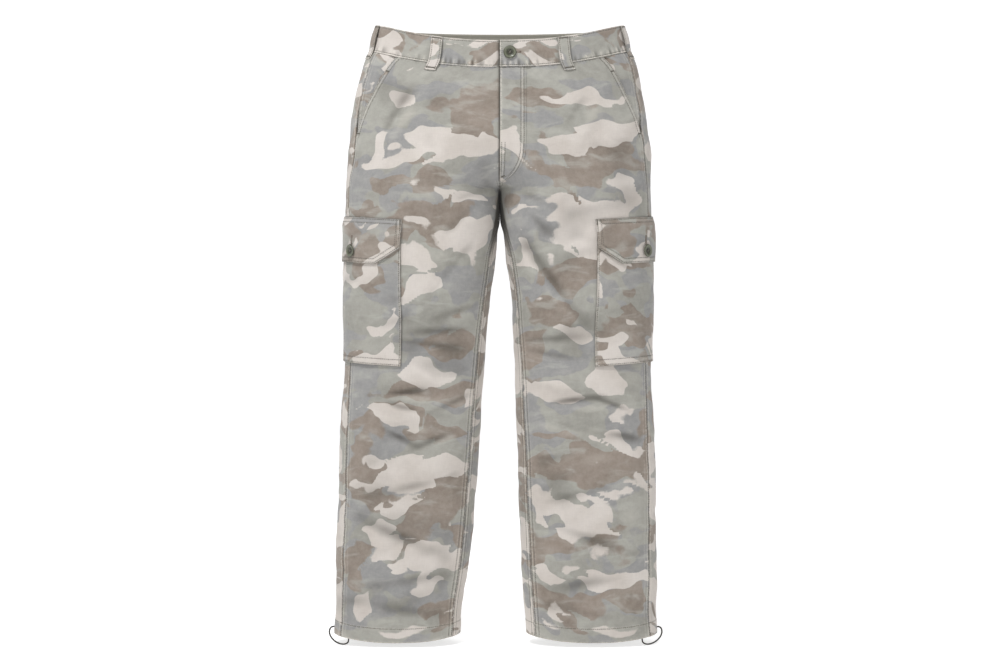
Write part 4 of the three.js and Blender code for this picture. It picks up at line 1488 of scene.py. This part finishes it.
def cargo_flap(name, side, material):
    columns, across_stations = POCKET_ACROSS
    rows, down_stations = FLAP_DOWN

    def place(i, j):
        share = across_stations(i, -FLAP_HALF_WIDTH, FLAP_HALF_WIDTH) / FLAP_HALF_WIDTH
        return share, down_stations(j, 0, FLAP_DROP)

    def marks(share, drop):
        edge = flap_edge(share * flap_half_width(drop), drop)
        pale, dark = lapped_edge(edge, *FLAP_ROWS)
        dark += stitch_rows(drop, *FLAP_ROWS)
        # The third mark is a painted shadow line round the flap's edge
        return pale + 0.6 * np.exp(-drop / 1.3), dark, edge_shadow(np.minimum(edge, drop))

    piece = cloth_piece(name, columns, rows, place, flap_layer(side), marks, CLOTH_THICKNESS, 0.6)
    declare(piece, name, material)


BUTTON_RADIUS = 10.8
BUTTON_HEIGHT = 3.4
# radius and height from the underside's middle round the rim to the sunk face
BUTTON_OUTLINE = [
    [1.0, 0.0],
    [7.8, 0.0],
    [9.6, 0.9],
    [10.6, 1.6],
    [10.8, 2.2],
    [10.5, 2.9],
    [9.7, 3.3],
    [8.8, 3.35],
    [7.9, 3.1],
    [7.1, 2.5],
    [6.4, 2.0],
    [5.6, 1.6],
    [4.5, 1.45],
    [0.4, 1.4],
]
WAIST_BUTTON_FROM_MIDDLE = 16.5
WAIST_BUTTON_HEIGHT = 12
# Where the waist's buttonhole starts and ends, and where the band's end is sewn down, in quarters round it
WAIST_BUTTONHOLE = (3.955, 3.84)
BAND_END_ROW = 3.985
# How far each button stands off its flap and off the band
FLAP_BUTTON_GAP = 0.8
BAND_BUTTON_GAP = 0.3
BUTTON_SEGMENTS = 40
HOLE_FROM_MIDDLE = 2.3
HOLE_RADIUS = 1.15
# Where the crossed threads lie above a button's underside
BUTTON_FACE = 1.75


def turned_button(name):
    """A button turned from its outline: a ring that is extruded and scaled from step to step."""
    in_object_mode()
    start = BUTTON_OUTLINE[0]
    bpy.ops.mesh.primitive_circle_add(vertices=BUTTON_SEGMENTS, radius=start[0] * MM, fill_type="NGON")
    piece = bpy.context.object
    piece.name = name
    bpy.ops.object.mode_set(mode="EDIT")
    bpy.ops.mesh.select_mode(type="EDGE")
    bpy.ops.mesh.select_all(action="SELECT")
    for before, after in zip(BUTTON_OUTLINE, BUTTON_OUTLINE[1:]):
        rise = (after[1] - before[1]) * MM
        bpy.ops.mesh.extrude_edges_move(TRANSFORM_OT_translate={"value": (0, 0, rise)})
        scale = after[0] / before[0]
        bpy.ops.transform.resize(value=(scale, scale, 1), center_override=(0, 0, after[1] * MM))
    bpy.ops.mesh.edge_face_add()
    bpy.ops.mesh.select_all(action="SELECT")
    bpy.ops.mesh.normals_make_consistent(inside=False)
    bpy.ops.object.mode_set(mode="OBJECT")
    drill_holes(piece)
    points = points_of(piece.data)
    mark(piece.data, "ring", np.hypot(points[:, 0], points[:, 1]) / (BUTTON_RADIUS * MM))
    return piece


def drill_holes(piece):
    """Four holes for the thread, cut through a button that lies at the origin."""
    for k in range(4):
        turn = math.radians(45 + 90 * k)
        in_object_mode()
        bpy.ops.mesh.primitive_cylinder_add(
            vertices=16,
            radius=HOLE_RADIUS * MM,
            depth=4 * BUTTON_HEIGHT * MM,
            location=(HOLE_FROM_MIDDLE * math.cos(turn) * MM, HOLE_FROM_MIDDLE * math.sin(turn) * MM, 0),
        )
        drill = bpy.context.object
        finish_with(piece, "BOOLEAN", operation="DIFFERENCE", object=drill, solver="EXACT")
        bpy.data.objects.remove(drill)


def set_on(piece, side, across, height, lift):
    """Moves a piece's mesh from the origin to its place on the cloth."""
    here, above = (
        lifted_point(side, np.array([across]), np.array([height]), np.array([lift + further]))[0]
        for further in (0.0, 10.0)
    )
    up = (above - here) / np.linalg.norm(above - here)
    right = np.cross([0, 0, 1.0], up)
    right /= np.linalg.norm(right)
    turn = np.stack([right, np.cross(up, right), up], 1)
    move_points(piece.data, points_of(piece.data) @ turn.T + here * MM)


def button(name, side, across, height, lift, material):
    piece = turned_button(name + "_turned")
    set_on(piece, side, across, height, lift)
    smooth(piece, 60)
    declare(piece, name, material)


def button_thread(side, across, height, lift):
    """The crossed threads that hold a button, a few strands each way, in its sunk middle."""
    seams = []
    reach_out = HOLE_FROM_MIDDLE * math.sqrt(0.5)
    for lean in (-1, 1):
        for step in (-0.45, 0, 0.45):

            def layer(u, v, lean=lean, step=step):
                return side, across + u - step, height + v * lean + step * lean, lift + 0 * u

            start = (-reach_out, -reach_out)
            end = (reach_out, reach_out)
            seams.append((layer, [start, end], 2 * HOLE_FROM_MIDDLE, 2 * HOLE_FROM_MIDDLE + 0.8, False))
    return seams


# Sewing. Each stitch is one small capsule, copied along its seam.
STITCH_LENGTH = 2.6
STITCH_WIDTH = 0.95
STITCH_HEIGHT = 0.6
STITCH_PITCH = 3.4
STITCH_SEED = 1
TACK_PITCH = 0.75


def stitch_shape():
    """One stitch: a low capsule, made once."""
    in_object_mode()
    bpy.ops.mesh.primitive_uv_sphere_add(segments=6, ring_count=4, radius=0.5)
    piece = bpy.context.object
    bpy.ops.object.mode_set(mode="EDIT")
    bpy.ops.mesh.select_all(action="SELECT")
    bpy.ops.transform.rotate(value=math.pi / 2, orient_axis="Y", center_override=(0, 0, 0))
    bpy.ops.object.mode_set(mode="OBJECT")
    points = points_of(piece.data)
    faces = [tuple(face.vertices) for face in piece.data.polygons]
    bpy.data.objects.remove(piece)
    return points, faces


def along_seam(layer, path, pitch):
    """Evenly spaced stitches along a path in a layer's own two measures: place, direction and normal."""
    path = np.array(path, float)
    spans = np.abs(np.diff(path, axis=0)).max(1)
    dense = [path[:1]]
    for k, span in enumerate(spans):
        share = np.linspace(0, 1, max(int(span / 1.5), 1) + 1)[1:, None]
        dense.append(mix(path[k], path[k + 1], share))
    dense = np.concatenate(dense)
    side, across, height, lift = np.broadcast_arrays(*layer(dense[:, 0], dense[:, 1]))
    points = lifted_point(side, across, height, lift)
    normals = lifted_point(side, across, height, lift + 1) - points
    length = np.concatenate([[0], np.cumsum(np.linalg.norm(np.diff(points, axis=0), axis=1))])
    at = np.arange(pitch / 2, length[-1], pitch)

    def read(values, where):
        return np.stack([np.interp(where, length, column) for column in values.T], 1)

    direction = read(points, at + 0.6) - read(points, at - 0.6)
    direction /= np.linalg.norm(direction, axis=1, keepdims=True)
    return read(points, at), direction, read(normals, at)


def sew(name, seams, material, shape):
    """Joins the stitches of many seams into one piece. A seam is a layer, a path, a pitch, a stitch's
    length and whether the stitches lie across the path."""
    random = np.random.default_rng(STITCH_SEED)
    base, faces = shape
    vertices = []
    polygons = []
    count = 0
    for layer, path, pitch, length, crossing in seams:
        place, direction, normal = along_seam(layer, path, pitch)
        beside = np.cross(normal, direction)
        if crossing:
            direction, beside = beside, -direction
        wander = random.normal(0, 0.1, (len(place), 1))
        long_way = length * random.uniform(0.9, 1.06, (len(place), 1))
        place = place + beside * wander * (0 if crossing else 1) + normal * 0.06
        for at, ahead, across, up, long in zip(place, direction, beside, normal, long_way):
            flat = at + base[:, :1] * long * ahead + base[:, 1:2] * STITCH_WIDTH * across
            vertices.append(flat + base[:, 2:] * STITCH_HEIGHT * up)
            polygons.extend(tuple(i + count for i in face) for face in faces)
            count += len(base)
    mesh = bpy.data.meshes.new(name)
    mesh.from_pydata((np.concatenate(vertices) * MM).tolist(), [], polygons)
    piece = bpy.data.objects.new(name, mesh)
    bpy.context.scene.collection.objects.link(piece)
    smooth(piece, 80)
    declare(piece, None, material)


def row(layer, path):
    """A row of topstitching."""
    return layer, path, STITCH_PITCH, STITCH_LENGTH, False


def tack(layer, path, width):
    """A bar tack: close stitches across a short path."""
    return layer, path, TACK_PITCH, width, True


def down_seam(measure, top, bottom, steps=60):
    """A path down a panel: measure gives the distance across at each height."""
    return [(float(measure(h)), h) for h in np.linspace(top, bottom, steps)]


def inset_path(points, distance):
    """An open outline moved inwards (to its left) by a distance, with its corners kept."""
    points = np.array(points, float)
    ways = np.diff(points, axis=0)
    ways /= np.linalg.norm(ways, axis=1, keepdims=True)
    inwards = np.stack([-ways[:, 1], ways[:, 0]], 1)
    result = [points[0] + inwards[0] * distance]
    for k in range(1, len(ways)):
        half = inwards[k - 1] + inwards[k]
        result.append(points[k] + half * distance / (1 + np.dot(inwards[k - 1], inwards[k])))
    result.append(points[-1] + inwards[-1] * distance)
    return result


def front_seams(side):
    layer = panel_layer(side, 1)
    seams = []
    for inset in FELL_ROWS:
        centre = down_seam(lambda h: reach(side, h, 1) - inset, FLY_BOTTOM - 4, HEM + 3, 120)
        mouth_row = down_seam(lambda h: slant_across(h) + inset, WAIST_SEAM - 3, SLANT_BOTTOM + 2)
        seams += [row(layer, centre), row(layer, mouth_row)]
    for top, bottom in ((SLANT_BOTTOM, FLAP_TOP + 4), (POCKET_BOTTOM - 4, HEM + 3)):
        seams.append(row(layer, down_seam(lambda h: SIDE_ROW, top, bottom)))
    far = float(reach(side, HEM + HEM_DEPTH, 1))
    seams.append(row(layer, [(a, HEM + HEM_ROW) for a in np.linspace(1, far - 1, 40)]))
    for height in (-38, SLANT_BOTTOM + 7):
        mouth = float(slant_across(height))
        seams.append(tack(layer, [(mouth + 1.5, height), (mouth + 9, height)], 3))
    seams.append(tack(layer, [(1, SLANT_BOTTOM - 2), (1, SLANT_BOTTOM - 10)], 3))
    return seams


def back_seams(side):
    layer = panel_layer(side, -1)
    seams = []
    for inset in FELL_ROWS:
        centre = down_seam(lambda h: inset - reach(side, h, -1), WAIST_SEAM - 3, HEM + 3, 140)
        seams.append(row(layer, centre))
    far = float(reach(side, HEM + HEM_DEPTH, -1))
    seams.append(row(layer, [(-a, HEM + HEM_ROW) for a in np.linspace(1, far - 1, 50)]))
    return seams


def fly_outline(inset):
    """The J of the fly's stitching: straight down, then a quarter of an oval round to the front edge."""
    straight = [(FLY_WIDTH - inset, h) for h in np.linspace(WAIST_SEAM - 3, FLY_BEND, 30)]
    across = FLY_WIDTH - FLY_FOOT - inset
    down = FLY_BEND - FLY_BOTTOM - inset
    turns = np.linspace(0.05, math.pi / 2, 20)
    bend = [(FLY_FOOT + across * math.cos(t), FLY_BEND - down * math.sin(t)) for t in turns]
    return straight + bend + [(1.5, FLY_BOTTOM + inset)]


def fly_seams():
    seams = [row(fly_layer, fly_outline(inset)) for inset in FLY_ROWS]
    caught = np.linspace(FLY_CAUGHT, FLY_BOTTOM + 14, 12)
    seams += [row(fly_layer, [(at, h) for h in caught]) for at in CENTRE_ROWS]
    seams.append(tack(fly_layer, [(2, FLY_BOTTOM + 9), (10, FLY_BOTTOM + 11)], 3))
    return seams


def band_seams():
    heights = (WAIST_SEAM + BAND_LOW_ROW, WAIST_TOP - BAND_TOP_ROW)
    seams = [row(band_layer, [(r, h) for r in np.linspace(0.01, BAND_END_ROW, 400)]) for h in heights]
    end = [(BAND_END_ROW, h) for h in np.linspace(WAIST_TOP - 3, WAIST_SEAM + 3, 20)]
    return seams + [row(band_layer, end)]


def buttonhole(layer, start, end):
    """Two close rows of satin stitches with a bar at each end."""
    start = np.array(start, float)
    end = np.array(end, float)
    way = (end - start) / np.linalg.norm(end - start)
    beside = np.array([-way[1], way[0]]) * 1.2
    rows = [tack(layer, [start + sign * beside, end + sign * beside], 1.9) for sign in (-1, 1)]
    return rows + [tack(layer, [end - beside * 1.4, end + beside * 1.4], 1.8)]


def loop_seams(layer):
    edge = LOOP_WIDTH / 2 - LOOP_ROW
    levels = (LOOP_TOP - 2, 20, 0, -14, LOOP_FOOT + 2)
    seams = [row(layer, [(x, level) for level in levels]) for x in (-edge, edge)]
    for height in (LOOP_TOP - 3, LOOP_FOOT + 4):
        seams.append(tack(layer, [(-LOOP_WIDTH / 2 + 2, height), (LOOP_WIDTH / 2 - 2, height)], 2.8))
    return seams


def pocket_seams(side):
    layer = pocket_layer(side)
    edge = POCKET_HALF_WIDTH - POCKET_ROW
    levels = np.linspace(FLAP_TOP - FLAP_CORNER_DROP + 4, POCKET_BOTTOM + 2, 40)
    seams = [row(layer, [(x, level) for level in levels]) for x in (-edge, edge)]
    for up in POCKET_FOOT_ROWS:
        seams.append(row(layer, [(x, POCKET_BOTTOM + up) for x in np.linspace(-edge, edge, 30)]))
    return seams


FLAP_OUTLINE = [
    (-FLAP_HALF_WIDTH, 1),
    (-FLAP_CORNER_HALF, FLAP_CORNER_DROP),
    (-FLAP_FOOT_HALF, FLAP_DROP),
    (FLAP_FOOT_HALF, FLAP_DROP),
    (FLAP_CORNER_HALF, FLAP_CORNER_DROP),
    (FLAP_HALF_WIDTH, 1),
]


def flap_seams(side):
    shares = flap_layer(side)

    def layer(along, drop):
        return shares(along / flap_half_width(drop), drop)

    seams = []
    for inset in FLAP_ROWS:
        seams.append(row(layer, inset_path(FLAP_OUTLINE, -inset)))
        half = FLAP_HALF_WIDTH - inset
        seams.append(row(layer, [(x, inset) for x in np.linspace(-half, half, 40)]))
    for end in (-1, 1):
        corner = end * (FLAP_HALF_WIDTH - 3)
        seams.append(tack(layer, [(corner, 1.5), (corner, 10)], 3))
    return seams, layer


def cargo_buttonhole(layer):
    drop = FLAP_TOP - POCKET_LEVEL
    return buttonhole(layer, (0, drop - 7), (0, drop - 25))


# Studio. The floor lies this far below the lowest point.
FLOOR_DROP = 1.0
# The sweep in metres: where its floor starts and bends up, the bend's radius, the wall's height and half
# its width
SWEEP_START = -20
SWEEP_BEND_AT = 5.2
SWEEP_BEND = 1.2
SWEEP_WALL = 6
SWEEP_HALF_WIDTH = 18
# The sweep is lit through from behind, so that it stays white and the shadows on it stay faint
SWEEP_GLOW = 0.68
WORLD_STRENGTH = 0.3
WHITE = (1, 1, 1, 1)
# name, place, what it points at, width in metres, watts
SOFT_LIGHTS = [
    ("key", (-1.0, -1.8, 2.7), (0, 0, -0.5), 0.7, 96),
    ("fill", (2.4, -2.6, 0.4), (0, 0, -0.5), 2.0, 10),
    ("back", (0.4, 2.2, 2.0), (0, 0, -0.3), 2.0, 24),
]


def paper():
    """Matt white paper, with a faint cloudiness."""
    material, tree, shader = new_material("matt_paper_sweep")
    place = add_node(tree, "TexCoord", output="Object")
    clouds = add_node(tree, "TexNoise", {"Vector": place, "Scale": 3, "Detail": 2})
    colour = add_node(tree, "Mix", {0: clouds, 6: to_linear("#c4c4c4"), 7: to_linear("#c8c8c8")}, TONES, 2)
    glow = {"Emission Color": WHITE, "Emission Strength": SWEEP_GLOW}
    fill(tree, shader, {"Base Color": colour, "Roughness": 1, "Specular IOR Level": 0.1, **glow})
    return material


def studio():
    """A white sweep: pale floor that curves up behind, with large soft lights."""
    floor_height = cad_box[0][2] - FLOOR_DROP * MM
    in_object_mode()
    bpy.ops.mesh.primitive_grid_add(x_subdivisions=2, y_subdivisions=160, size=2)
    sweep = bpy.context.object
    sweep.name = "sweep"
    flat = points_of(sweep.data)
    share = (flat[:, 1] + 1) / 2
    run = SWEEP_START + share * (SWEEP_BEND_AT - SWEEP_START + SWEEP_BEND * math.pi / 2 + SWEEP_WALL)
    angle = np.clip((run - SWEEP_BEND_AT) / SWEEP_BEND, 0, math.pi / 2)
    wall = np.clip(run - SWEEP_BEND_AT - SWEEP_BEND * math.pi / 2, 0, None)
    y = np.minimum(run, SWEEP_BEND_AT) + SWEEP_BEND * np.sin(angle)
    z = floor_height + SWEEP_BEND * (1 - np.cos(angle)) + wall
    move_points(sweep.data, np.stack([flat[:, 0] * SWEEP_HALF_WIDTH, y, z], -1))
    smooth(sweep, 60)
    sweep.data.materials.append(paper())
    world = bpy.data.worlds.new("studio")
    world.use_nodes = True
    fill(world.node_tree, world.node_tree.nodes["Background"], {0: WHITE, 1: WORLD_STRENGTH})
    bpy.context.scene.world = world
    for name, place, aim, width, power in SOFT_LIGHTS:
        data = bpy.data.lights.new(name, "AREA")
        data.shape = "SQUARE"
        data.size = width
        data.energy = power
        lamp = bpy.data.objects.new(name, data)
        lamp.location = place
        step = np.array(aim) - np.array(place)
        level = math.hypot(step[0], step[1])
        lamp.rotation_euler = (math.atan2(level, -step[2]), 0, math.atan2(step[1], step[0]) - math.pi / 2)
        bpy.context.scene.collection.objects.link(lamp)
    view = bpy.context.scene.view_settings
    view.view_transform = "Standard"
    view.look = "None"


def build():
    place_camera()
    cord = elastic_cord()
    hem_cord("hem_cord_right", -1, cord)
    hem_cord("hem_cord_left", 1, cord)
    reverse = twill_reverse()
    body, waist, pocket = (
        [washed_twill("cotton_twill_" + part), reverse] for part in ("body", "waist", "pocket")
    )
    resin = moulded_resin()
    thread = sewing_thread("corespun_thread_olive", "#5b574e", "#77736a")
    silk = sewing_thread("corespun_thread_brown", "#67594d", "#84776a")
    stitch = stitch_shape()
    loop_rows = []
    for word, side in (("right", -1), ("left", 1)):
        front_panel(f"front_{word}", side, body)
        back_panel(f"back_{word}", side, body)
        pocket_facing(f"pocket_facing_{word}", side, body)
        cargo_pocket(f"cargo_pocket_{word}", side, pocket)
        cargo_flap(f"cargo_flap_{word}", side, pocket)
        flap_rows, flap_cloth = flap_seams(side)
        sew(f"topstitch_front_{word}", front_seams(side), thread, stitch)
        sew(f"topstitch_back_{word}", back_seams(side), thread, stitch)
        sew(f"topstitch_pocket_{word}", pocket_seams(side) + flap_rows, thread, stitch)
        sew(f"buttonhole_{word}", cargo_buttonhole(flap_cloth), silk, stitch)
        lift = float(flap_lift(np.array(0.0), np.array(POCKET_LEVEL))) + CLOTH_THICKNESS + FLAP_BUTTON_GAP
        button(f"cargo_button_{word}", side, POCKET_FORWARD, POCKET_LEVEL, lift, resin)
        crossed = button_thread(side, POCKET_FORWARD, POCKET_LEVEL, lift + BUTTON_FACE)
        sew(f"button_thread_{word}", crossed, thread, stitch)
        loop = loop_layer(side, SIDE_LOOP_ACROSS, SIDE_LOOP_ACROSS, SIDE_LOOP_PROFILE)
        loop_piece(f"belt_loop_side_{word}", loop, waist)
        loop_rows += loop_seams(loop)
    fly_piece(body)
    waistband_piece(waist)
    for name, (side, top, foot, face) in LOOPS.items():
        top_across = across_at(side, WAIST_TOP, top, face)
        foot_across = across_at(side, WAIST_SEAM, foot, face)
        loop = loop_layer(side, top_across, foot_across, LOOP_PROFILE)
        loop_piece(name, loop, waist)
        loop_rows += loop_seams(loop)
    loop_piece("belt_loop_centre_back", centre_back_layer, waist)
    loop_rows += loop_seams(centre_back_layer)
    sew("topstitch_waistband", band_seams() + loop_rows, thread, stitch)
    sew("topstitch_fly", fly_seams(), thread, stitch)
    hole = buttonhole(band_layer, *[(end, WAIST_BUTTON_HEIGHT) for end in WAIST_BUTTONHOLE])
    sew("buttonhole_waist", hole, silk, stitch)
    across = across_at(1, WAIST_BUTTON_HEIGHT, WAIST_BUTTON_FROM_MIDDLE, 1)
    lift = BAND_OUT + BAND_LAP_RISE + BAND_BUTTON_GAP
    button("waist_button", 1, across, WAIST_BUTTON_HEIGHT, lift, resin)
    crossed = button_thread(1, across, WAIST_BUTTON_HEIGHT, lift + BUTTON_FACE)
    sew("button_thread_waist", crossed, thread, stitch)
    studio()


build()
